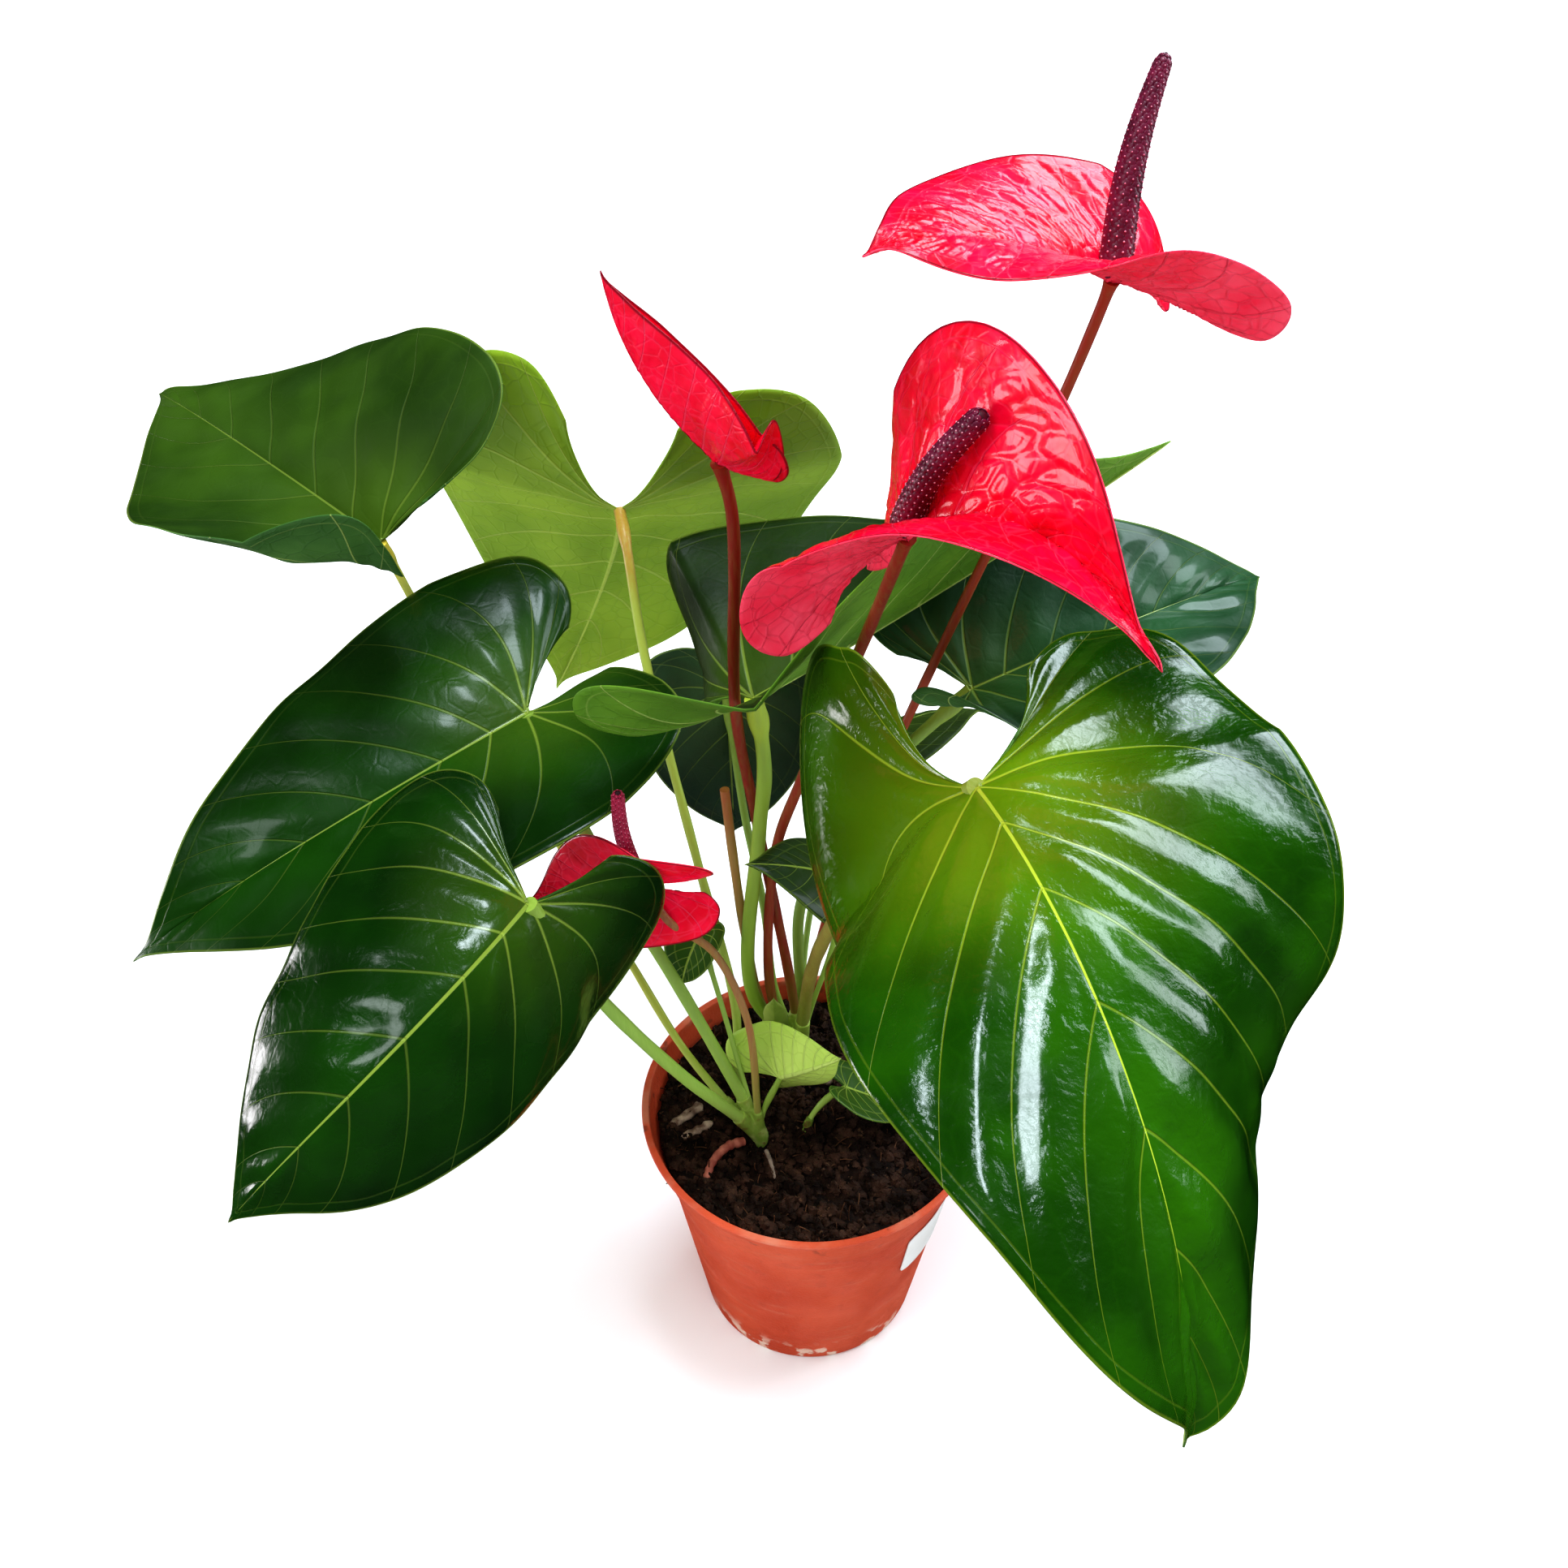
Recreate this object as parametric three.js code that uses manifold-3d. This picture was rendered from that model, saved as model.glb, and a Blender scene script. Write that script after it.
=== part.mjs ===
// A potted anthurium: a round nursery pot filled with peat, three short crowns that stand in holes in
// the peat, thirteen heart-shaped leaves on their stalks, and four flowers, each with a waxy spathe, a
// stalk and a spadix. Millimetres, +Z up. The origin is the middle of the pot's base.
import * as THREE from 'three';
import { mergeVertices } from 'three/addons/utils/BufferGeometryUtils.js';
import Module from 'manifold-3d';

const wasm = await Module();
wasm.setup();

// ---------- driving dimensions ----------
// The rim band stands out over the body by its step, and the lip is a rolled edge.
const POT = {
  height: 102, baseRadius: 40, shoulderRadius: 52.5, shoulderHeight: 82, lipRadius: 60,
  wall: 1.3, floor: 1.6, bandStep: 1.4, footChamfer: 1.4, lipWidth: 2.4, lipDrop: 2, segments: 36,
};
const DRAIN = { count: 6, radius: 3.5, circle: 26, sides: 10 };
const SOIL = { level: 90, mound: 3, moundAt: [-9, 12], moundReach: 30, lump: 1.3, segments: 32 };
SOIL.rings = [0.86, 0.7, 0.54, 0.38, 0.22, 0.08];   // of the surface, as shares of its radius
SOIL.fit = 0.3;                // more room to the pot, whose wall has flat sides
const LABEL = { from: -50, to: 5, low: 52, high: 76, thickness: 0.5, steps: 12 };
const CLEARANCE = 0.3;         // between pieces that touch on the real plant
const BLADE_THICKNESS = 0.7;
const SPATHE_THICKNESS = 0.8;
const BEND_STEPS = 24;         // steps in which a midrib bends
const WAVES = 2.5;             // waves along one margin
// A half's rows start on its outline where its sinus ends; the first ones bend round the sinus.
const SINUS = { end: 0.2, fades: 0.45, rounding: 0.46 };

const rad = THREE.MathUtils.degToRad;
const clamp = THREE.MathUtils.clamp;
const lerp = THREE.MathUtils.lerp;
const vec = ([x, y, z]) => new THREE.Vector3(x, y, z);

// ---------- leaves and spathes ----------
// at: where the stalk joins. heading, pitch and roll turn the blade there. droop bends the midrib down
// along its length, tipDroop more near the tip, sideBend sideways, and twist turns it about itself.
// Each half has its width, the length of its basal lobe, the gap of its sinus, the fold at the midrib,
// the curl across, the drop and the fold of its lobe, and the height and phase of its margin's waves.
// cutBack is how many clearances the stalk's cutter moves back where it isn't the usual number.
const LARGE = { rows: 20, columns: 4 };
const MIDDLE = { rows: 20, columns: 3 };
const FLOWER = { rows: 16, columns: 3 };
const SMALL = { rows: 10, columns: 3 };
const CUTTER = { rows: 10, columns: 3 };
const LEAVES = {
  back_left: {
    at: [-134, 66, 290], length: 142, widestAt: 0.13, taper: 1.08, tipFold: -0.6, grid: MIDDLE,
    heading: 143, pitch: 13, roll: -27, droop: 27, tipDroop: 11, sideBend: -2, twist: -7,
    left: { width: 59, lobe: 25, gap: 13, fold: 31, curl: 47, lobeFold: 32, wave: -4, wavePhase: -77 },
    right: { width: 67, lobe: 26, gap: 28, fold: 38, curl: -38, lobeDrop: -23, lobeFold: 4,
      wave: 4, wavePhase: 5 },
  },
  back_center: {
    at: [-64, 102, 280], length: 136, widestAt: 0.02, taper: 0.86, tipFold: 0.4, grid: MIDDLE,
    heading: 96, pitch: -44, roll: 14, droop: 43, sideBend: 18, twist: -1,
    left: { width: 69, lobe: 50, gap: 21, curl: 12, lobeDrop: -12, lobeFold: 33, wave: -4, wavePhase: 76 },
    right: { width: 76, lobe: 51, gap: 20, fold: 24, lobeDrop: -12, lobeFold: 18,
      wave: -6, wavePhase: 102 },
  },
  left: {
    at: [-90, 35, 247], length: 144, widestAt: 0.1, taper: 0.97, tipFold: 0.6, grid: MIDDLE,
    heading: -142, pitch: -7, roll: -11, droop: 29, tipDroop: 11, sideBend: -17, twist: -1,
    left: { width: 55, lobe: 38, gap: 3, fold: 12, curl: -3, lobeDrop: -6, lobeFold: 10,
      wave: 1, wavePhase: -37 },
    right: { width: 56, lobe: 37, gap: 20, fold: 24, curl: -20, lobeDrop: -1, lobeFold: -7,
      wave: -4, wavePhase: -57 },
  },
  front_left: {
    at: [-81, -41, 239], length: 134, widestAt: 0.06, taper: 0.64, tipFold: 1.1, grid: MIDDLE,
    heading: -118, pitch: -5, roll: -43, droop: 78, tipDroop: 4, sideBend: -3, twist: 21,
    left: { width: 48, lobe: 37, gap: 10, fold: -16, curl: -25, lobeDrop: -19, lobeFold: 2,
      wave: -2, wavePhase: 11 },
    right: { width: 57, lobe: 25, gap: 24, fold: -18, curl: -36, lobeDrop: -3, lobeFold: 5,
      wave: -2, wavePhase: -28 },
  },
  center_folded: {
    at: [-19, 27, 259], length: 151, widestAt: 0.08, taper: 1.04, tipFold: 1.2, grid: MIDDLE,
    heading: 18, pitch: 23, roll: 16, droop: 4, tipDroop: -3, sideBend: 11, twist: -43,
    left: { width: 67, lobe: 33, gap: 17, fold: -5, curl: 11, lobeDrop: 55, lobeFold: -39,
      wave: 3, wavePhase: -10 },
    right: { width: 63, lobe: 44, gap: 20, fold: 49, curl: 12, lobeDrop: 2, lobeFold: 35,
      wave: -1, wavePhase: 26 },
  },
  behind_stems: {
    at: [-30, 85, 218], length: 70, widestAt: 0.09, taper: 0.99, tipFold: 0.7, grid: SMALL,
    heading: -80, pitch: -68, roll: 5, droop: 45, tipDroop: 9, sideBend: -2, twist: 5,
    left: { width: 30, lobe: 19, gap: 6, fold: 15, curl: -8, lobeDrop: 10 },
    right: { width: 31, lobe: 17, gap: 4, fold: 13, curl: -9, lobeDrop: 5, lobeFold: 3 },
  },
  front_right: {
    at: [38, -58, 296], length: 182, widestAt: 0.26, taper: 0.71, tipFold: -1.1, grid: LARGE,
    heading: -74, pitch: 11, roll: -7, droop: 94, tipDroop: -2, sideBend: 30, twist: -19,
    left: { width: 86, lobe: 55, gap: 31, fold: 7, curl: -22, lobeDrop: -51, lobeFold: -2,
      wave: 16, wavePhase: 39 },
    right: { width: 56, lobe: 40, gap: 15, fold: -37, curl: -31, lobeDrop: -75, lobeFold: -6,
      wave: -3, wavePhase: -7 },
  },
  right_back: {
    at: [50, 49, 246], length: 133, widestAt: 0.09, taper: 0.97, tipFold: 0.8, grid: MIDDLE,
    heading: 23, pitch: 12, roll: 14, droop: 29, tipDroop: 10, sideBend: 12, twist: 10,
    left: { width: 51, lobe: 21, gap: 20, fold: 29, curl: -12, lobeDrop: 4, lobeFold: 3,
      wave: 1, wavePhase: 41 },
    right: { width: 51, lobe: 25, gap: 11, fold: 33, curl: -12, lobeFold: 43, wave: 2, wavePhase: -16 },
  },
  right_low: {
    at: [19.5, 75, 204], length: 62, widestAt: 0.07, taper: 1.02, tipFold: 0.5, grid: SMALL,
    heading: 45, roll: -22, droop: 31, tipDroop: 5, sideBend: -1, twist: -7,
    left: { width: 24, lobe: 17, gap: 6, fold: -3, curl: -20, lobeDrop: 10, wave: 1, wavePhase: 51 },
    right: { width: 25, lobe: 17, gap: 6, fold: -3, curl: -17, lobeDrop: 10 },
  },
  small_center: {
    at: [12, 25, 186], length: 45, widestAt: 0.08, taper: 1.02, tipFold: 0.5, grid: SMALL,
    heading: 208, pitch: 38, roll: -15, droop: 13, tipDroop: 3, sideBend: 3, twist: 2,
    left: { width: 21, lobe: 13, gap: 5, fold: -8, curl: -24, lobeDrop: 10 },
    right: { width: 18, lobe: 13, gap: 5, fold: -2, curl: -18, lobeDrop: 10 },
  },
  small_left: {
    at: [-38, 19, 166], length: 24, widestAt: 0.09, taper: 0.94, tipFold: 0.7, grid: SMALL,
    heading: -134, pitch: -50, roll: -16, droop: 48, tipDroop: 5, twist: -5,
    left: { width: 9, lobe: 7, gap: 2, fold: 15, curl: -5, lobeDrop: 10 },
    right: { width: 11, lobe: 7, gap: 2, fold: 16, curl: -6, lobeDrop: 10 },
  },
  pale_low: {
    at: [-11, -3, 118], length: 30, widestAt: 0.09, taper: 0.94, tipFold: 0.6, grid: SMALL,
    heading: -21, pitch: 37, roll: -93, droop: 4, tipDroop: 1, sideBend: -11, twist: -11,
    left: { width: 12, lobe: 8, gap: 4, fold: 32, curl: 4, lobeDrop: 9, lobeFold: 3 },
    right: { width: 21, lobe: 18, gap: 5, fold: 20, curl: -8, lobeDrop: 5, lobeFold: 1 },
  },
  small_low: {
    at: [12, -1, 110], length: 33, widestAt: 0.09, taper: 0.98, tipFold: 0.4, grid: SMALL,
    heading: 2, pitch: -31, roll: -6, droop: -3, tipDroop: -3, sideBend: 6, twist: 7,
    left: { width: 13, lobe: 9, gap: 3, fold: 8, curl: -10, lobeDrop: 10 },
    right: { width: 14, lobe: 9, gap: 3, fold: 13, curl: -10, lobeDrop: 6, lobeFold: 9 },
  },
};
const SPATHES = {
  top: {
    at: [71, 21, 393], length: 77, widestAt: 0.08, taper: 0.92, tipFold: -0.2, grid: FLOWER,
    heading: 194, pitch: 29, roll: -3, droop: 20, tipDroop: 10, sideBend: 30, twist: 2,
    left: { width: 40, lobe: 34, gap: 10, fold: 20, curl: 19, lobeDrop: 11, lobeFold: 13,
      wave: 4, wavePhase: -11 },
    right: { width: 38, lobe: 30, gap: 8, fold: 22, curl: -1, lobeDrop: 21, lobeFold: -6,
      wave: 3, wavePhase: 50 },
  },
  center: {
    at: [20, -27, 349], length: 88, widestAt: 0.07, taper: 1.06, tipFold: 1.8, grid: FLOWER,
    heading: -45, pitch: 48, roll: -4, droop: 89, tipDroop: 1, sideBend: -9, twist: 4,
    left: { width: 42, lobe: 32, gap: 8, fold: 56, curl: 14, lobeDrop: 33, lobeFold: -34,
      wave: 6, wavePhase: -97 },
    right: { width: 38, lobe: 39, gap: 10, fold: 11, lobeDrop: 53, lobeFold: 21, wave: -2, wavePhase: -11 },
  },
  furled: {
    at: [-27, 20, 343], length: 63, widestAt: 0.11, taper: 0.92, tipFold: 1, grid: FLOWER,
    heading: 171, pitch: 41, roll: -31, droop: -53, tipDroop: 7, twist: 36, cutBack: 5,
    left: { width: 31, lobe: 22, gap: 7, fold: 68, curl: 13, lobeDrop: -46, lobeFold: 32,
      wave: -1, wavePhase: -104 },
    right: { width: 21, lobe: 22, gap: 6, fold: 73, curl: 21, lobeDrop: -40, wave: -1, wavePhase: -90 },
  },
  low: {
    at: [-53, -3, 210], length: 37, widestAt: 0.09, taper: 0.95, tipFold: -0.4, grid: SMALL,
    heading: 182, pitch: -1, roll: -71, droop: 17, tipDroop: 1, sideBend: 17, twist: 13,
    left: { width: 21, lobe: 23, gap: 4, fold: 9, curl: -9, lobeDrop: 15, lobeFold: -2 },
    right: { width: 24, lobe: 20, gap: 4, fold: 51, curl: -8, lobeDrop: 11, lobeFold: 9 },
  },
};

// ---------- crowns and stalks ----------
// A crown is where its stalks leave the soil. Each stalk goes from the crown through its waypoints to its
// blade; its first part, as long as its sheath, belongs to the crown.
const CROWNS = {
  back: { at: [-4, 30, 93], trunk: 7 },
  front: { at: [-18, -8, 91], trunk: 6.5 },
  side: { at: [-2, -5, 91], trunk: 3 },
};
const ROOTED = 24;             // how deep a crown stands in the soil
const SHEATH = { thickness: 1.1, taper: 0.6 };   // what a sheath adds to a stalk's radius, and its thinning
const STALKS = {
  back_left: { crown: 'front', radius: 1.4, sheath: 20,
    via: [[-27, -4, 101], [-45, 7, 122], [-63, 22, 150],
      [-99, 55, 204], [-124, 75, 243], [-132, 81, 260]] },
  back_center: { crown: 'front', radius: 1.6, sheath: 18,
    via: [[-25, 4, 101], [-27, 18, 133], [-40, 43, 180], [-56, 74, 241], [-61, 89, 273]] },
  left: { crown: 'front', radius: 2.1, sheath: 18, via: [[-24, -3, 106], [-43, 8, 146], [-73, 24, 205]] },
  front_left: { crown: 'front', radius: 2.1, sheath: 16,
    via: [[-24, -9, 102], [-42, -17, 134], [-64, -28, 182], [-73, -35, 211]] },
  center_folded: { crown: 'back', radius: 2.4, sheath: 22,
    via: [[-21, 29, 126], [-18, 31, 200], [-16, 29, 227], [-17, 28, 245]] },
  behind_stems: { crown: 'back', radius: 1.4, sheath: 16,
    via: [[-13, 40, 115], [-17, 53, 144], [-24, 68, 178]] },
  front_right: { crown: 'back', radius: 2.3, sheath: 22,
    via: [[-1, 17, 146], [4, -2, 188], [14, -20, 230], [26, -41, 267]] },
  right_back: { crown: 'back', radius: 2, sheath: 20,
    via: [[-4, 38, 120], [-4, 47, 151], [10, 48, 191], [28, 47, 221]] },
  right_low: { crown: 'back', radius: 1.2, sheath: 14, via: [[-3, 47, 118], [3, 63, 154]] },
  small_center: { crown: 'back', radius: 1, sheath: 12, via: [[0, 30, 117], [6, 30, 143]] },
  small_left: { crown: 'front', radius: 0.9, sheath: 12, via: [[-23, -1, 109], [-31, 10, 140]] },
  pale_low: { crown: 'front', radius: 0.9, sheath: 8, via: [[-17, -6, 103]] },
  small_low: { crown: 'side', radius: 1, sheath: 6, via: [[0, -3, 97], [6, -1, 105]] },
};
const FLOWER_STALKS = {
  top: { crown: 'back', radius: 1.5, sheath: 18,
    via: [[-2, 35, 116], [13, 46, 182], [30, 47, 236], [44, 42, 284], [63, 32, 351], [69, 25, 380]] },
  center: { crown: 'back', radius: 1.7, sheath: 20,
    via: [[-14, 29, 123], [-13, 30, 190], [-5, 20, 231], [11, -1, 297]] },
  furled: { crown: 'back', radius: 1.8, sheath: 20,
    via: [[-7, 33, 123], [-19, 35, 204], [-24.5, 26, 256], [-24, 22, 326]] },
  low: { crown: 'front', radius: 1.3, sheath: 14,
    via: [[-19, -7, 106], [-22, -2, 146], [-32, 0, 176], [-46, -9, 201]] },
};
const STUB = {
  crown: 'back', radius: 1.6, sheath: 18, via: [[-17, 30, 116], [-23, 32, 150], [-27, 34, 190]],
  at: [-29, 35, 216],
};

// spadices: their tips, and the radii low down and at the tip
const SPADICES = {
  top: { tip: [81, 42, 440], radius: 4, tipRadius: 2 },
  center: { tip: [34, -41, 389], radius: 3.5, tipRadius: 2.6, standsAt: 2.6 },
  furled: { along: 0.62, lift: 4.2, radius: 1.8, tipRadius: 1.2 },
  low: { tip: [-57, -14, 257], radius: 2.5, tipRadius: 1.8 },
};
const FLORETS = { around: 6, spacing: 2.1, relief: 0.08 };
// A spadix keeps its girth low down, is rounded at the tip, and starts a little narrower at its foot.
const SPIKE = {
  taper: 1.6, rounding: 0.75, foot: 0.75, footRows: 2, standsAt: 1, inside: [0.06, 0.35, 0.7, 1],
};

// thin dry and green sheaths at the crowns, narrow blades with no lobes
const SHEATHS = {
  green: {
    at: [-13, 27, 98], length: 34, widestAt: 0.3, taper: 0.7, tipFold: 0.6, grid: SMALL,
    heading: -95, pitch: 84, roll: 0, droop: 6, twist: 0,
    left: { width: 5.5, lobe: 2, gap: 1.5, fold: 24, curl: 20 },
    right: { width: 5.5, lobe: 2, gap: 1.5, fold: 24, curl: 20 },
  },
  pale: {
    at: [-26, 6, 97], length: 24, widestAt: 0.3, taper: 0.7, tipFold: 0.6, grid: SMALL,
    heading: 150, pitch: 74, roll: 0, droop: 10, twist: 0,
    left: { width: 3, lobe: 2, gap: 1, fold: 26, curl: 20 },
    right: { width: 3, lobe: 2, gap: 1, fold: 26, curl: 20 },
  },
};

// aerial roots from the front crown and the bark chips on the soil
const AERIAL_ROOTS = {
  red: { radius: 1.7, tipRadius: 1.3,
    via: [[-24, -11, 93], [-29, -14, 94.5], [-34, -19, 93.5], [-37, -26, 91]] },
  grey: { radius: 0.8, tipRadius: 0.6, via: [[-16, -15, 93], [-14.5, -20, 94], [-13, -26, 92]] },
};
const CHIPS = [
  { from: [-50, -4, 92.5], to: [-39, 5, 93.5], radius: 2 },
  { from: [-46, -9, 92.5], to: [-35, -3, 93.5], radius: 1.6 },
  { from: [5, 15, 92.5], to: [13, 23, 94], radius: 1.8 },
];

// ---------- closed bodies ----------
// Positions and triangles as one closed body with its faces pointing out.
function closedBody(positions, triangles) {
  const geometry = new THREE.BufferGeometry();
  const numbers = positions.flatMap((p) => p.toArray());
  geometry.setAttribute('position', new THREE.Float32BufferAttribute(numbers, 3));
  geometry.setIndex(triangles.flat());
  return weld(geometry);
}

function weld(source) {
  const bare = source.clone();
  bare.deleteAttribute('normal');
  bare.deleteAttribute('uv');
  const geometry = mergeVertices(bare, 1e-3);
  const index = [...geometry.index.array];
  const kept = [];
  for (let i = 0; i < index.length; i += 3) {
    const [a, b, c] = index.slice(i, i + 3);
    if (a !== b && b !== c && c !== a) kept.push([a, b, c]);
  }
  const place = geometry.attributes.position;
  const corner = (i) => new THREE.Vector3().fromBufferAttribute(place, i);
  const volume = kept.reduce((sum, [a, b, c]) => sum + corner(a).dot(corner(b).cross(corner(c))), 0);
  geometry.setIndex((volume < 0 ? kept.map(([a, b, c]) => [a, c, b]) : kept).flat());
  return geometry;
}

function toSolid(geometry) {
  const welded = weld(geometry);
  return new wasm.Manifold(new wasm.Mesh({
    numProp: 3,
    vertProperties: new Float32Array(welded.attributes.position.array),
    triVerts: new Uint32Array(welded.index.array),
  }));
}

// The vertices and triangles of a solid.
function rawGeometry(solid) {
  const { numProp, vertProperties, triVerts } = solid.getMesh();
  const geometry = new THREE.BufferGeometry();
  const positions = Float32Array.from({ length: (vertProperties.length / numProp) * 3 },
    (_, i) => vertProperties[Math.floor(i / 3) * numProp + (i % 3)]);
  geometry.setAttribute('position', new THREE.BufferAttribute(positions, 3));
  geometry.setIndex([...triVerts]);
  return geometry;
}

// The largest body of a solid: a cut can leave crumbs beside it, which the welding sets free. Triangles
// that share an edge are one body.
function toGeometry(solid) {
  const { numProp, vertProperties, triVerts } = toSolid(rawGeometry(solid)).getMesh();
  const corner = (i) => vec(vertProperties.slice(i * numProp, i * numProp + 3));
  const triangles = [];
  for (let i = 0; i < triVerts.length; i += 3) triangles.push([...triVerts.slice(i, i + 3)]);
  const parent = triangles.map((_, i) => i);
  const root = (i) => {
    while (parent[i] !== i) {
      parent[i] = parent[parent[i]];
      i = parent[i];
    }
    return i;
  };
  const owner = new Map();
  triangles.forEach(([a, b, c], i) => {
    for (const [from, to] of [[a, b], [b, c], [c, a]]) {
      owner.set(`${from},${to}`, i);
      const other = owner.get(`${to},${from}`);
      if (other !== undefined) parent[root(i)] = root(other);
    }
  });
  const volumes = new Map();
  triangles.forEach(([a, b, c], i) => {
    const volume = corner(a).dot(corner(b).cross(corner(c)));
    volumes.set(root(i), (volumes.get(root(i)) ?? 0) + volume);
  });
  const largest = [...volumes].sort((one, other) => other[1] - one[1])[0][0];
  const body = triangles.filter((_, i) => root(i) === largest);
  const used = [...new Set(body.flat())];
  const renumbered = new Map(used.map((from, to) => [from, to]));
  return closedBody(used.map(corner), body.map((triangle) => triangle.map((i) => renumbered.get(i))));
}

// Rings of points, all with the same count, skinned into a body with a fan at each end.
function loft(rings) {
  const sides = rings[0].length;
  const middle = (ring) => ring.reduce((sum, p) => sum.add(p), new THREE.Vector3()).divideScalar(sides);
  const positions = [...rings.flat(), middle(rings[0]), middle(rings[rings.length - 1])];
  const start = positions.length - 2;
  const end = start + 1;
  const last = (rings.length - 1) * sides;
  const triangles = [];
  for (let i = 0; i < sides; i += 1) {
    const next = (i + 1) % sides;
    for (let ring = 0; ring < last; ring += sides) {
      const above = ring + sides;
      triangles.push([ring + i, ring + next, above + next], [ring + i, above + next, above + i]);
    }
    triangles.push([start, next, i], [end, last + i, last + next]);
  }
  return closedBody(positions, triangles);
}

// Rings round a route at the given shares of its length; radiusAt gives each point's radius.
function ringsAlong(route, shares, sides, radiusAt) {
  const across = new THREE.Vector3(0.3, 1, 0.2);
  return shares.map((share) => {
    const centre = route.getPointAt(clamp(share, 0, 1));
    const ahead = route.getTangentAt(clamp(share, 0, 1));
    across.addScaledVector(ahead, -across.dot(ahead)).normalize();
    const beside = ahead.clone().cross(across);
    const ring = [];
    for (let i = 0; i < sides; i += 1) {
      const angle = (2 * Math.PI * i) / sides;
      const radius = radiusAt(share, angle);
      ring.push(centre.clone().addScaledVector(across, radius * Math.cos(angle))
        .addScaledVector(beside, radius * Math.sin(angle)));
    }
    return ring;
  });
}

// Seeded draws between 0 and 1.
function draws(seed) {
  let state = seed;
  return () => {
    state = (state + 0x6d2b79f5) | 0;
    let t = Math.imul(state ^ (state >>> 15), 1 | state);
    t = (t + Math.imul(t ^ (t >>> 7), 61 | t)) ^ t;
    return ((t ^ (t >>> 14)) >>> 0) / 4294967296;
  };
}

// ---------- blades ----------
// Control points of a half's outline from the stalk round the lobe to the tip, and where on the midrib
// each point's vein starts.
function halfOutline(blade, half) {
  const { length, taper } = blade;
  const { width, lobe, gap } = half;
  const widest = blade.widestAt * length;
  const rest = length - widest;
  const shoulder = 1 - Math.min(0.95, 0.82 * (0.8 + 0.2 * taper));
  return [
    [0, 0, 0], [-0.35 * lobe, 0.55 * gap, 0], [-0.8 * lobe, gap, 0],
    [-lobe, gap + 0.42 * (width - gap), 0], [-0.72 * lobe, gap + 0.86 * (width - gap), 0], [widest, width, 0],
    [widest + 0.33 * rest, width * (1 - 0.14 * taper), 0.16 * length],
    [widest + 0.62 * rest, width * (1 - 0.48 * taper), 0.45 * length],
    [widest + 0.84 * rest, width * shoulder, 0.72 * length],
    [widest + 0.945 * rest, width * 0.045, 0.9 * length], [length, 0, length],
  ].map(vec);
}

// Position, direction, left-hand side and upper face along the midrib.
function midribFrames(blade) {
  const { heading = 0, pitch = 0, roll = 0, droop = 0, tipDroop = 0, sideBend = 0, twist = 0 } = blade;
  const ahead = new THREE.Vector3(1, 0, 0).applyAxisAngle(new THREE.Vector3(0, 1, 0), -rad(pitch))
    .applyAxisAngle(new THREE.Vector3(0, 0, 1), rad(heading));
  const side = new THREE.Vector3(0, 1, 0).applyAxisAngle(new THREE.Vector3(0, 0, 1), rad(heading));
  side.applyAxisAngle(ahead, rad(roll));
  const upper = ahead.clone().cross(side);
  const step = blade.length / BEND_STEPS;
  const place = vec(blade.at);
  const frames = [{ place: place.clone(), ahead: ahead.clone(), side: side.clone(), upper: upper.clone() }];
  for (let i = 0; i < BEND_STEPS; i += 1) {
    const along = (i + 0.5) / BEND_STEPS;
    const before = ahead.clone();
    ahead.applyAxisAngle(side, rad(droop + tipDroop * 4 * along ** 3) / BEND_STEPS);
    upper.crossVectors(ahead, side);
    ahead.applyAxisAngle(upper, rad(sideBend) / BEND_STEPS);
    side.applyAxisAngle(upper, rad(sideBend) / BEND_STEPS).applyAxisAngle(ahead, rad(twist) / BEND_STEPS);
    upper.crossVectors(ahead, side);
    place.addScaledVector(before.add(ahead), step / 2);
    frames.push({ place: place.clone(), ahead: ahead.clone(), side: side.clone(), upper: upper.clone() });
  }
  return frames;
}

// The frame at a distance x along the midrib; behind the stalk the lobe bends down by its own drop.
function frameAt(blade, half, frames, x) {
  if (x >= 0) {
    const t = clamp(x / blade.length, 0, 1) * BEND_STEPS;
    const i = Math.min(Math.floor(t), BEND_STEPS - 1);
    const mix = (key) => frames[i][key].clone().lerp(frames[i + 1][key], t - i);
    return { place: mix('place'), side: mix('side'), upper: mix('upper') };
  }
  const { place, ahead, side, upper } = frames[0];
  const bend = rad(half.lobeDrop ?? 0) * (-x / half.lobe) || 1e-6;
  const radius = -x / bend;
  return {
    place: place.clone().addScaledVector(ahead, -radius * Math.sin(bend))
      .addScaledVector(upper, -radius * (1 - Math.cos(bend))),
    side,
    upper: upper.clone().multiplyScalar(Math.cos(bend)).addScaledVector(ahead, -Math.sin(bend)),
  };
}

// A point of the blade: x along, y across, u its share of the way round the outline and rho of the way
// out from the midrib.
function bladePoint(blade, half, sign, frames, x, y, u, rho) {
  const { width, fold = 0, curl = 0, lobeFold = 0, wave = 0, wavePhase = 0 } = half;
  const along = clamp(x / blade.length, 0, 1);
  const back = clamp(-x / half.lobe, 0, 1.2);
  const folded = rad(fold) * (1 + (blade.tipFold - 1) * along) + rad(lobeFold) * back;
  const curled = rad(curl) || 1e-6;
  const turned = folded + (curled * y) / width;
  const across = (width / curled) * (Math.sin(turned) - Math.sin(folded));
  const waved = wave * Math.sin(Math.PI * u) * Math.sin(2 * Math.PI * WAVES * u + rad(wavePhase)) * rho ** 2;
  const up = (width / curled) * (Math.cos(folded) - Math.cos(turned)) + waved;
  const { place, side, upper } = frameAt(blade, half, frames, x);
  return place.clone().addScaledVector(side, sign * across).addScaledVector(upper, up);
}

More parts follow.
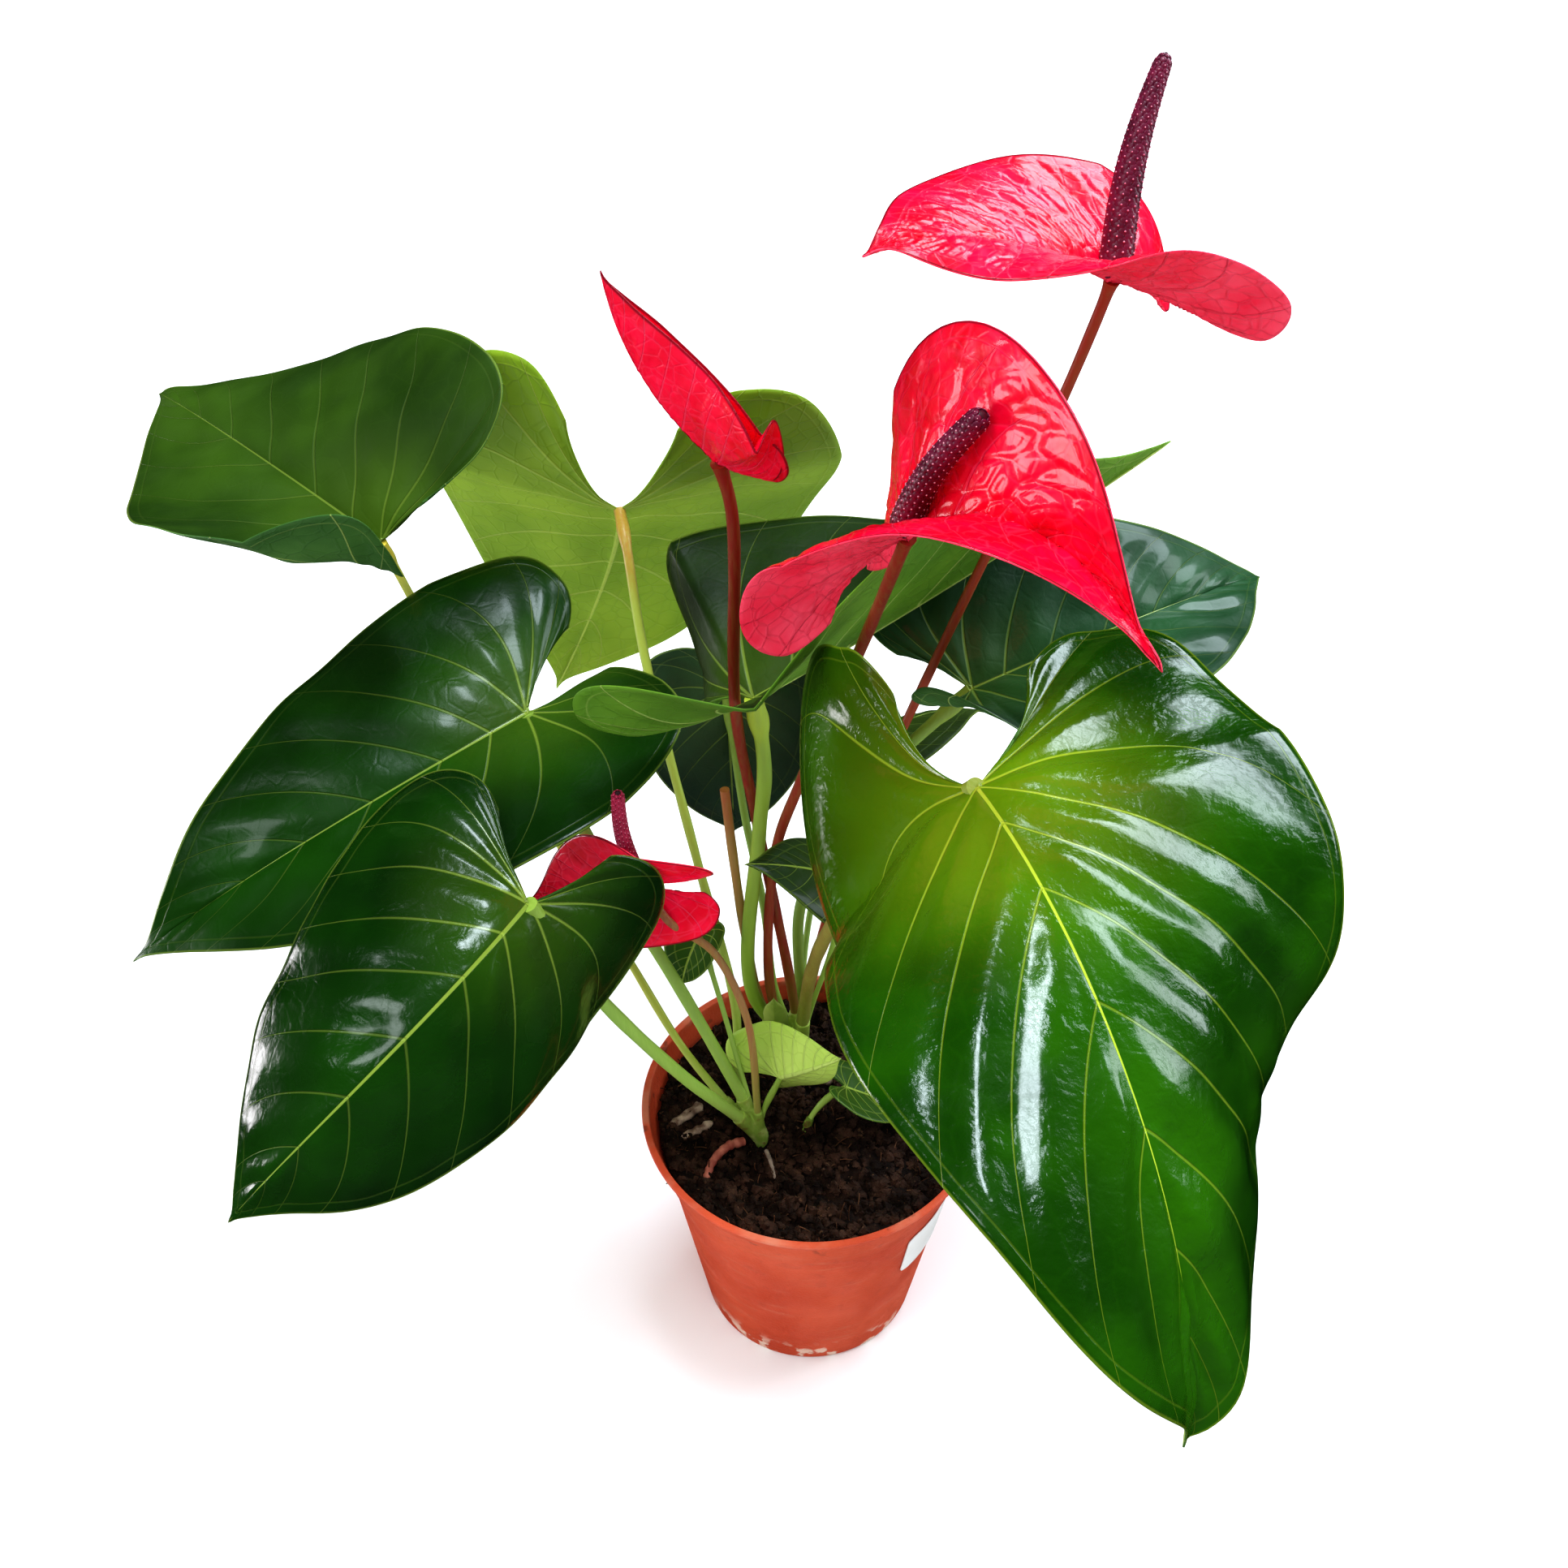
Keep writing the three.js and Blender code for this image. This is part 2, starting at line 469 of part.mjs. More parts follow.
// The blade's middle surface as merged points and triangles that all face up.
function bladeSurface(blade) {
  const { rows, columns } = blade.grid;
  const frames = midribFrames(blade);
  const points = [];
  const found = new Map();
  const pointIndex = (p) => {
    const key = p.toArray().map((v) => Math.round(v * 1000)).join();
    if (!found.has(key)) {
      found.set(key, points.length);
      points.push(p);
    }
    return found.get(key);
  };
  const triangles = [];
  for (const [half, sign] of [[blade.left, 1], [blade.right, -1]]) {
    const outline = new THREE.CatmullRomCurve3(halfOutline(blade, half), false, 'catmullrom', 0.5);
    const grid = [];
    for (let row = 0; row <= rows; row += 1) {
      const u = lerp(SINUS.end, 1, row / rows);
      const edge = outline.getPoint(u);
      const rounded = SINUS.rounding * half.gap * clamp((SINUS.fades - u) / (SINUS.fades - SINUS.end), 0, 1);
      const line = [];
      for (let column = 0; column <= columns; column += 1) {
        const rho = column / columns;
        const x = lerp(Math.max(edge.z, 0), edge.x, rho);
        const y = Math.abs(edge.y) * rho + rounded * rho * (1 - rho);
        line.push(pointIndex(bladePoint(blade, half, sign, frames, x, y, u, rho)));
      }
      grid.push(line);
    }
    for (let row = 0; row < rows; row += 1) {
      for (let column = 0; column < columns; column += 1) {
        const [a, b] = [grid[row][column], grid[row + 1][column]];
        const [d, c] = [grid[row][column + 1], grid[row + 1][column + 1]];
        for (const triangle of [[a, b, c], [a, c, d]]) {
          if (new Set(triangle).size === 3) triangles.push(sign > 0 ? triangle : triangle.reverse());
        }
      }
    }
  }
  return { points, triangles };
}

// A blade of the given thickness.
function bladeBody(blade, thickness) {
  const { points, triangles } = bladeSurface(blade);
  const normals = points.map(() => new THREE.Vector3());
  const edges = new Map();
  for (const [a, b, c] of triangles) {
    const facing = points[b].clone().sub(points[a]).cross(points[c].clone().sub(points[a]));
    for (const corner of [a, b, c]) normals[corner].add(facing);
    for (const [from, to] of [[a, b], [b, c], [c, a]]) edges.set(`${from},${to}`, [from, to]);
  }
  normals.forEach((normal) => normal.normalize());
  const rim = [...edges.values()].filter(([from, to]) => !edges.has(`${to},${from}`));
  const face = (offset) => points.map((p, i) => p.clone().addScaledVector(normals[i], offset));
  const count = points.length;
  const walls = rim.flatMap(([from, to]) => [[to, from, from + count], [to, from + count, to + count]]);
  const under = triangles.map(([a, b, c]) => [c + count, b + count, a + count]);
  return closedBody([...face(thickness / 2), ...face(-thickness / 2)], [...triangles, ...under, ...walls]);
}

// The blade as a cutter with few faces: thicker, with a narrower sinus, and moved back past its junction,
// each by so many clearances that no stalk end is left within one.
const CUT = { thicker: 4, narrower: 2, back: 2.5 };
function bladeCutter(blade, thickness, clearancesBack = CUT.back) {
  const narrow = (half) => ({ ...half, gap: half.gap - CUT.narrower * CLEARANCE });
  const back = midribFrames(blade)[0].ahead.multiplyScalar(-clearancesBack * CLEARANCE);
  const wider = { ...blade, left: narrow(blade.left), right: narrow(blade.right), grid: CUTTER };
  return toSolid(bladeBody(wider, thickness + CUT.thicker * CLEARANCE).translate(...back.toArray()));
}

// ---------- stalks ----------
// The whole route of a stalk, from down in the soil to its blade.
function stalkRoute(stalk, end) {
  const [x, y, z] = CROWNS[stalk.crown].at;
  const points = [[x, y, z - ROOTED], [x, y, z - ROOTED / 2], [x, y, z], ...stalk.via, end];
  return new THREE.CatmullRomCurve3(points.map(vec), false, 'centripetal');
}

const STALK_SIDES = 6;
const STALK_STEP = 22;         // mm between rings
const RING_GAP = 1.5;          // rings nearer together than this are one
// The thickened bend below a blade: its girth rises, is fullest at its middle and falls towards the blade.
const KNEE = { length: 14, swell: 0.35, middle: 0.45, offset: 1.15, end: 0.75 };

// Shares of the route for rings from one distance to another.
function ringShares(route, from, to, extra = []) {
  const length = route.getLength();
  const steps = Math.max(2, Math.round((to - from) / STALK_STEP));
  const distances = Array.from({ length: steps + 1 }, (_, i) => lerp(from, to, i / steps));
  const wanted = [...distances, ...extra.filter((d) => d > from && d < to)].sort((a, b) => a - b);
  return wanted.filter((d, i) => i === 0 || d - wanted[i - 1] > RING_GAP).map((d) => d / length);
}

// A stalk above its sheath, thicker towards the blade where it has a knee.
function stalkBody(stalk, end, knee, grow = 0) {
  const route = stalkRoute(stalk, end);
  const length = route.getLength();
  const from = ROOTED + stalk.sheath + CLEARANCE - grow;
  const shares = ringShares(route, from, length, [length - KNEE.length, length - KNEE.middle * KNEE.length]);
  const radiusAt = (share) => {
    const left = (1 - share) * length;
    const rise = clamp(KNEE.offset - left / KNEE.length, 0, KNEE.end);
    const swell = knee ? KNEE.swell * Math.sin(Math.PI * rise) : 0;
    return stalk.radius * (1 + swell) + grow;
  };
  return loft(ringsAlong(route, shares, STALK_SIDES, radiusAt));
}

// The first part of a stalk with its sheath round it, from down in the soil.
function sheathedFoot(stalk, end, grow = 0) {
  const route = stalkRoute(stalk, end);
  const length = route.getLength();
  const top = ROOTED + stalk.sheath;
  const shares = [0, ROOTED / 2, ROOTED, ROOTED + stalk.sheath / 2, top + grow].map((d) => d / length);
  const radiusAt = (share) => {
    const up = clamp((share * length - ROOTED) / stalk.sheath, 0, 1);
    return stalk.radius + SHEATH.thickness * (1 - SHEATH.taper * up) + grow;
  };
  return loft(ringsAlong(route, shares, STALK_SIDES, radiusAt));
}

// The short upright stem in the middle of a crown: narrow in the soil, full at the surface, then rounded off.
const TRUNK = { above: 9, sides: 8, girth: [0.6, 1, 0.95, 0.45], shares: [0, 0.45, 0.8, 1] };
function trunk(crown, grow = 0) {
  const [x, y, z] = crown.at;
  const { above, sides, girth, shares } = TRUNK;
  const route = new THREE.CatmullRomCurve3([[x, y, z - ROOTED], [x, y, z], [x, y, z + above]].map(vec));
  const radiusAt = (share) => crown.trunk * girth[shares.indexOf(share)] + grow;
  return loft(ringsAlong(route, shares, sides, radiusAt));
}

function crownSolid(name, grow = 0) {
  const feet = [
    ...Object.entries(STALKS).map(([key, stalk]) => [stalk, LEAVES[key].at]),
    ...Object.entries(FLOWER_STALKS).map(([key, stalk]) => [stalk, SPATHES[key].at]),
    [STUB, STUB.at],
  ].filter(([stalk]) => stalk.crown === name);
  return feet.reduce((solid, [stalk, end]) => solid.add(toSolid(sheathedFoot(stalk, end, grow))),
    toSolid(trunk(CROWNS[name], grow)));
}

// ---------- spadix ----------
// A tapered spike covered with small raised florets in rows that alternate.
function spadixRoute(name) {
  const spadix = SPADICES[name];
  const spathe = SPATHES[name];
  const frames = midribFrames(spathe);
  if (spadix.tip) {
    const foot = frames[0].place.clone().addScaledVector(frames[0].upper, spadix.standsAt ?? SPIKE.standsAt);
    return new THREE.LineCurve3(foot, vec(spadix.tip));
  }
  const last = Math.round(spadix.along * BEND_STEPS);
  const inside = SPIKE.inside.map((share) => frames[Math.round(share * last)]);
  return new THREE.CatmullRomCurve3(inside.map((f) => f.place.clone().addScaledVector(f.upper, spadix.lift)));
}

function spadixBody(name) {
  const { radius, tipRadius } = SPADICES[name];
  const route = spadixRoute(name);
  const rows = Math.round(route.getLength() / FLORETS.spacing);
  const shares = Array.from({ length: rows + 1 }, (_, i) => i / rows);
  const radiusAt = (share, angle) => {
    const row = Math.round(share * rows);
    const end = Math.sqrt(1 - SPIKE.rounding * clamp(share * rows - rows + 1, 0, 1));
    const foot = lerp(SPIKE.foot, 1, clamp(row / SPIKE.footRows, 0, 1));
    const relief = 1 + FLORETS.relief * Math.cos(FLORETS.around * angle + Math.PI * row);
    return lerp(radius, tipRadius, share ** SPIKE.taper) * end * foot * relief;
  };
  return loft(ringsAlong(route, shares, 2 * FLORETS.around, radiusAt));
}

// ---------- pot, label, soil ----------
// Radius of the pot's outside at a height.
function potRadius(z) {
  const { shoulderHeight, height } = POT;
  if (z < shoulderHeight) return lerp(POT.baseRadius, POT.shoulderRadius, z / shoulderHeight);
  const up = (z - shoulderHeight) / (height - shoulderHeight);
  return lerp(POT.shoulderRadius + POT.bandStep, POT.lipRadius - 1, up);
}

function potSolid() {
  const { height, baseRadius, shoulderRadius, shoulderHeight, lipRadius } = POT;
  const { wall, floor, bandStep, footChamfer, lipWidth, lipDrop } = POT;
  const bandRadius = shoulderRadius + bandStep;
  const lipInside = lipRadius - lipWidth;
  const profile = [
    [0, 0], [baseRadius - footChamfer, 0], [baseRadius, footChamfer], [shoulderRadius, shoulderHeight - 1],
    [bandRadius, shoulderHeight + 0.6], [lipRadius - 1.2, height - lipDrop], [lipRadius, height - 1.4],
    [lipRadius, height], [lipInside, height], [lipInside - 0.5, height - lipDrop],
    [bandRadius - wall, shoulderHeight + 1], [shoulderRadius - wall, shoulderHeight - 1],
    [baseRadius - wall, floor + footChamfer], [baseRadius - wall - footChamfer, floor], [0, floor],
  ].map(([x, y]) => new THREE.Vector2(x, y));
  const shell = new THREE.LatheGeometry(profile, POT.segments).rotateX(Math.PI / 2);
  let solid = toSolid(shell);
  for (let i = 0; i < DRAIN.count; i += 1) {
    const angle = (2 * Math.PI * (i + 0.5)) / DRAIN.count;
    const hole = new THREE.CylinderGeometry(DRAIN.radius, DRAIN.radius, 3 * floor, DRAIN.sides)
      .rotateX(Math.PI / 2).translate(DRAIN.circle * Math.cos(angle), DRAIN.circle * Math.sin(angle), 0);
    solid = solid.subtract(toSolid(hole));
  }
  return solid;
}

// A sticker that follows the pot's wall.
function labelBody() {
  const rings = Array.from({ length: LABEL.steps + 1 }, (_, i) => {
    const angle = rad(lerp(LABEL.from, LABEL.to, i / LABEL.steps));
    const corner = (z, out) => {
      const radius = potRadius(z) / Math.cos(Math.PI / POT.segments) + out;
      return new THREE.Vector3(radius * Math.cos(angle), radius * Math.sin(angle), z);
    };
    const back = CLEARANCE;
    const front = CLEARANCE + LABEL.thickness;
    const { low, high } = LABEL;
    return [corner(low, back), corner(high, back), corner(high, front), corner(low, front)];
  });
  return loft(rings);
}

// Height of the soil's lumpy surface, mounded round the crowns.
function soilHeight(x, y) {
  const away = Math.hypot(x - SOIL.moundAt[0], y - SOIL.moundAt[1]);
  const mound = SOIL.mound * Math.exp(-((away / SOIL.moundReach) ** 2));
  const lumps = Math.sin(0.31 * x + 0.9) * Math.cos(0.27 * y) + 0.6 * Math.sin(0.53 * y + 0.41 * x);
  return SOIL.level + mound + (SOIL.lump * lumps) / 1.6;
}

function soilSolid() {
  const circle = (radius, height) => Array.from({ length: SOIL.segments }, (_, i) => {
    const angle = (2 * Math.PI * i) / SOIL.segments;
    const [x, y] = [radius * Math.cos(angle), radius * Math.sin(angle)];
    return new THREE.Vector3(x, y, height ?? soilHeight(x, y));
  });
  const inner = POT.wall + CLEARANCE + SOIL.fit;
  const edge = potRadius(SOIL.level) - inner - 1;
  const rings = [
    circle(POT.baseRadius - inner - 1.6, POT.floor + CLEARANCE), circle(POT.baseRadius - inner, 4),
    circle(POT.shoulderRadius - inner - 0.4, POT.shoulderHeight - 2),
    circle(edge), ...SOIL.rings.map((share) => circle(edge * share)),
  ];
  return toSolid(loft(rings));
}

// A splinter of bark: a rough, flattened six-sided stick.
const CHIP_RINGS = 4;
function chipBody({ from, to, radius }, seed, grow = 0) {
  const draw = draws(seed);
  const route = new THREE.LineCurve3(vec(from), vec(to));
  const shares = Array.from({ length: CHIP_RINGS + 1 }, (_, i) => i / CHIP_RINGS);
  const girth = shares.map(() => 0.7 + 0.5 * draw());
  const flat = (angle) => 0.8 + 0.25 * Math.cos(2 * angle);
  const radiusAt = (share, angle) => radius * girth[Math.round(share * CHIP_RINGS)] * flat(angle) + grow;
  return loft(ringsAlong(route, shares, 6, radiusAt));
}

function rootBody({ via, radius, tipRadius }, grow = 0) {
  const route = new THREE.CatmullRomCurve3(via.map(vec), false, 'centripetal');
  const shares = [0, 0.2, 0.4, 0.6, 0.8, 1];
  return loft(ringsAlong(route, shares, 6, (share) => lerp(radius, tipRadius, share) + grow));
}

// ---------- materials ----------
const FINISHES = {
  pot: { color: '#c8553c', roughness: 0.55 },
  label: { color: '#f4f4f2', roughness: 0.5 },
  soil: { color: '#33211b', roughness: 0.95 },
  leaf: { color: '#1f4f12', roughness: 0.28 },
  leafPale: { color: '#8fb553', roughness: 0.5 },
  stalk: { color: '#94b144', roughness: 0.45 },
  flowerStalk: { color: '#7a1c14', roughness: 0.45 },
  spathe: { color: '#d4143c', roughness: 0.22 },
  spadix: { color: '#5a1129', roughness: 0.5 },
  crown: { color: '#86a045', roughness: 0.6 },
  stub: { color: '#a8692f', roughness: 0.6 },
  drySheath: { color: '#cdbb8d', roughness: 0.7 },
  bark: { color: '#8a6a55', roughness: 0.9 },
  redRoot: { color: '#a4584a', roughness: 0.7 },
};

// ---------- assembly ----------
const plant = new THREE.Group();
function addMesh(name, geometry, finish) {
  const material = new THREE.MeshStandardMaterial({ ...FINISHES[finish], metalness: 0 });
  const mesh = new THREE.Mesh(geometry, material);
  mesh.name = name;
  plant.add(mesh);
}

const crowns = Object.keys(CROWNS).map((name) => (
  { name, solid: crownSolid(name), grown: crownSolid(name, CLEARANCE) }
));
const carve = (solid, cutters) => cutters.reduce((left, cutter) => left.subtract(cutter), solid);
const grownCrowns = crowns.map((crown) => crown.grown);

addMesh('pot', toGeometry(potSolid()), 'pot');
addMesh('pot_label', labelBody(), 'label');

const roots = Object.entries(AERIAL_ROOTS).map(([name, root]) => ({ name, root }));
const lying = [
  ...CHIPS.map((chip, i) => toSolid(chipBody(chip, i + 1, CLEARANCE))),
  ...roots.map(({ root }) => toSolid(rootBody(root, CLEARANCE))),
];
addMesh('soil', toGeometry(carve(soilSolid(), [...grownCrowns, ...lying])), 'soil');
for (const { name, solid } of crowns) addMesh(`crown_${name}`, toGeometry(solid), 'crown');

// Leaves and flowers, each stalk cut clear of its blade, of the crowns and of the stalks made before it.
const grownStalks = [];
function addStalk(name, stalk, end, knee, cutters, finish) {
  const solid = carve(toSolid(stalkBody(stalk, end, knee)), [...cutters, ...grownCrowns, ...grownStalks]);
  grownStalks.push(toSolid(stalkBody(stalk, end, knee, CLEARANCE)));
  addMesh(name, toGeometry(solid), finish);
}

for (const [name, blade] of Object.entries(LEAVES)) {
  addMesh(`leaf_${name}`, bladeBody(blade, BLADE_THICKNESS), name === 'pale_low' ? 'leafPale' : 'leaf');
  addStalk(`petiole_${name}`, STALKS[name], blade.at, true, [bladeCutter(blade, BLADE_THICKNESS)], 'stalk');
}
for (const [name, spathe] of Object.entries(SPATHES)) {
  addMesh(`spathe_${name}`, bladeBody(spathe, SPATHE_THICKNESS), 'spathe');
  const stalkCutter = bladeCutter(spathe, SPATHE_THICKNESS, spathe.cutBack);
  addStalk(`peduncle_${name}`, FLOWER_STALKS[name], spathe.at, false, [stalkCutter], 'flowerStalk');
  const cutters = [bladeCutter(spathe, SPATHE_THICKNESS - CLEARANCE), grownStalks[grownStalks.length - 1]];
  const spike = carve(toSolid(spadixBody(name)), cutters);
  addMesh(`spadix_${name}`, toGeometry(spike), 'spadix');
}
addStalk('cut_stub', STUB, STUB.at, false, [], 'stub');

for (const [name, sheath] of Object.entries(SHEATHS)) {
  const solid = carve(toSolid(bladeBody(sheath, BLADE_THICKNESS)), [...grownCrowns, ...grownStalks]);
  addMesh(`sheath_${name}`, toGeometry(solid), name === 'green' ? 'crown' : 'drySheath');
}
for (const { name, root } of roots) {
  const solid = carve(toSolid(rootBody(root)), grownCrowns);
  addMesh(`aerial_root_${name}`, toGeometry(solid), name === 'red' ? 'redRoot' : 'bark');
}
CHIPS.forEach((chip, i) => addMesh(`bark_chip_${i + 1}`, toGeometry(toSolid(chipBody(chip, i + 1))), 'bark'));

export default plant;
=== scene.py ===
# %% [markdown]
# # A potted anthurium
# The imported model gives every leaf, flower, stalk and the pot at its real place, as plain solids. This
# lesson dresses them: each blade is made again from the same few sizes, with many more points, so that it
# can carry veins, quilting and a thin rim. Lengths are worked out in millimetres, as the plant was
# measured, and become metres only when a mesh is made.

import math

import bpy
import numpy as np
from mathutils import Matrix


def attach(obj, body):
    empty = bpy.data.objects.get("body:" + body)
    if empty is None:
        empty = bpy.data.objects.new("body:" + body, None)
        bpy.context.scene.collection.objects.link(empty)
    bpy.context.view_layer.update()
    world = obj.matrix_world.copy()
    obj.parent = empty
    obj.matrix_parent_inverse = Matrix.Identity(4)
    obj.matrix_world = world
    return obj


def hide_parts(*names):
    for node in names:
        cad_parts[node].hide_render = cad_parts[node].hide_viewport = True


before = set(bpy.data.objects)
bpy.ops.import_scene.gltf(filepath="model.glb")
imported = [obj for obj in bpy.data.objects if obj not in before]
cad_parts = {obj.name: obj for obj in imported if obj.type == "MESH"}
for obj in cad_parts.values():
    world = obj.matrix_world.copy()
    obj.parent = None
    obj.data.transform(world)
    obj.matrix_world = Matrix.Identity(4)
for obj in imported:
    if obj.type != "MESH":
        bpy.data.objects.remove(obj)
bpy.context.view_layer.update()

# %% [markdown]
# ## Meshes
# Every piece is made the same way: points, faces, the materials of its faces, and up to three UV maps that
# carry the blade's own coordinates to its material. The piece then rides on the one body that the plant has,
# and says which plain solid it stands for.

# %% Make a piece from points and faces
MM = 0.001


def plain_object(name, data):
    holder = bpy.data.objects.new(name, data)
    bpy.context.scene.collection.objects.link(holder)
    return holder


def make_mesh(name, points, faces, materials=(), face_slots=None, maps=None, edges=()):
    mesh = bpy.data.meshes.new(name)
    mesh.from_pydata((np.asarray(points) * MM).tolist(), edges, faces)
    for material in materials:
        mesh.materials.append(material)
    if face_slots is not None:
        mesh.polygons.foreach_set("material_index", np.asarray(face_slots, dtype=np.int32))
    for map_name, values in (maps or {}).items():
        layer = mesh.uv_layers.new(name=map_name)
        layer.data.foreach_set("uv", np.asarray(values, dtype=np.float32).ravel())
    mesh.shade_smooth()
    mesh.update()
    return mesh


def add_piece(mesh):
    """A piece is named after the node that it replaces, with one more word."""
    piece = plain_object(mesh.name, mesh)
    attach(piece, "root")
    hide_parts(mesh.name.rpartition("_")[0])
    print(piece.name, sum(len(face.vertices) - 2 for face in mesh.polygons), "triangles")


# %% What Geometry Nodes and modifiers need
def point_values(mesh, name, values):
    """Gives each point of a mesh a number or a direction, for a Geometry Nodes tree to read."""
    values = np.asarray(values, dtype=np.float32)
    kind, field = ("FLOAT_VECTOR", "vector") if values.ndim == 2 else ("FLOAT", "value")
    mesh.attributes.new(name, kind, "POINT").data.foreach_set(field, values.ravel())


def evaluated_mesh(source, name):
    """The source's mesh with its modifiers applied; the source object is removed."""
    graph = bpy.context.evaluated_depsgraph_get()
    mesh = bpy.data.meshes.new_from_object(source.evaluated_get(graph))
    mesh.name = name
    bpy.data.objects.remove(source)
    return mesh


# %% [markdown]
# ## Lines through points
# Outlines of the blades are smooth curves through eleven points, with even steps between them. The stalks'
# routes pass through points that lie at very uneven distances, so they use the centripetal form, which
# makes no loops there.

# %% Two kinds of smooth line
def with_ends(points):
    """The points and one more beyond each end, in line with the last two."""
    points = np.asarray(points, float)
    return np.vstack([2 * points[0] - points[1], points, 2 * points[-1] - points[-2]])


def bent_step(start, end, leaving, arriving, w):
    """Places at w, from 0 to 1, between two points that are left and reached in given directions."""
    cubic = 2 * start - 2 * end + leaving + arriving
    square = 3 * end - 3 * start - 2 * leaving - arriving
    return cubic * w**3 + square * w**2 + leaving * w + start


def even_spline(points, t):
    """Points of the curve at t, from 0 at its first point to 1 at its last."""
    place = np.clip(t, 0, 1) * (len(points) - 1)
    i = np.minimum(place.astype(int), len(points) - 2)
    before, start, end, after = (with_ends(points)[i + k] for k in range(4))
    return bent_step(start, end, (end - before) / 2, (after - start) / 2, (place - i)[:, None])


def route_through(points, steps=24):
    """A centripetal curve through the points, as many short straight steps."""
    padded = with_ends(points)
    line = [padded[1:2]]
    w = np.linspace(0, 1, steps + 1)[1:, None]
    for i in range(len(points) - 1):
        a, b, c, d = padded[i:i + 4]
        first, second, third = (np.linalg.norm(q - p) ** 0.5 for p, q in ((a, b), (b, c), (c, d)))
        leaving = ((b - a) / first - (c - a) / (first + second) + (c - b) / second) * second
        arriving = ((c - b) / second - (d - b) / (second + third) + (d - c) / third) * second
        line.append(bent_step(b, c, leaving, arriving, w))
    return np.vstack(line)


def distances_along(line):
    return np.concatenate([[0], np.cumsum(np.linalg.norm(np.diff(line, axis=0), axis=1))])


def resample(line, wanted):
    along = distances_along(line)
    return np.stack([np.interp(wanted, along, line[:, axis]) for axis in range(3)], axis=1)


# %% [markdown]
# ## Seeded unevenness
# Nothing on a plant is even. A ripple is a sum of a few plane waves whose directions and phases come from a
# seeded draw, so it is smooth and the same each run. Cells are the pattern of a net: each point belongs to
# its nearest seed point, and the height falls to nothing where two cells meet.

# %% Ripples and cells
RIPPLE_WAVES = 7
WAVELENGTHS = (0.75, 1.4)      # shares of the given wavelength, between which each wave's own is drawn
SEED_SHIFT = 0.42              # share of a cell's size by which its seed point lies off the grid
CELL_WALLS = dict(steep=1.8, rounding=0.6)
PLACES_AT_ONCE = 4000


def ripple(seed, places, wavelength):
    """Smooth values of about -1 to 1 at places given as rows of coordinates."""
    draw = np.random.default_rng(seed)
    total = np.zeros(len(places))
    for _ in range(RIPPLE_WAVES):
        direction = draw.normal(size=places.shape[1])
        direction *= 2 * math.pi / (wavelength * draw.uniform(*WAVELENGTHS) * np.linalg.norm(direction))
        total += np.sin(places @ direction + draw.uniform(0, 2 * math.pi))
    return total / math.sqrt(RIPPLE_WAVES)


def cell_heights(seed, places, size):
    """0 on the borders of seeded cells of about the given size, rising to 1 inside them."""
    draw = np.random.default_rng(seed)
    low, high = places.min(axis=0) - size, places.max(axis=0) + size
    xs, ys = (np.arange(low[axis], high[axis], size) for axis in (0, 1))
    seeds = np.stack(np.meshgrid(xs, ys), axis=-1).reshape(-1, 2)
    seeds += draw.uniform(-SEED_SHIFT, SEED_SHIFT, seeds.shape) * size
    heights = []
    for start in range(0, len(places), PLACES_AT_ONCE):
        part = places[start:start + PLACES_AT_ONCE]
        nearest = np.sort(np.linalg.norm(part[:, None] - seeds[None], axis=2), axis=1)[:, :2]
        heights.append((nearest[:, 1] - nearest[:, 0]) / size)
    return np.clip(np.concatenate(heights) * CELL_WALLS["steep"], 0, 1) ** CELL_WALLS["rounding"]


def smooth_step(low, high, value):
    t = np.clip((value - low) / (high - low), 0, 1)
    return t * t * (3 - 2 * t)


def closing(share, start, least):
    """Shares of the girth for a round end: 1 up to the start, then falling to the root of the least."""
    return np.sqrt(np.clip(1 - np.clip((share - start) / (1 - start), 0, 1) ** 2, least, 1))


# %% [markdown]
# ## The sizes of leaves and flowers
# These are the same few sizes that the plain solids were made from, so each dressed blade lies in the place
# of its solid. A blade starts where its stalk joins, heads somewhere with a pitch and a roll, droops and
# twists along its midrib, and each of its halves has its own width, lobe, fold, curl and waves. Only the
# furled flower's hidden spadix is slimmer here than its solid, since florets stand out from it.

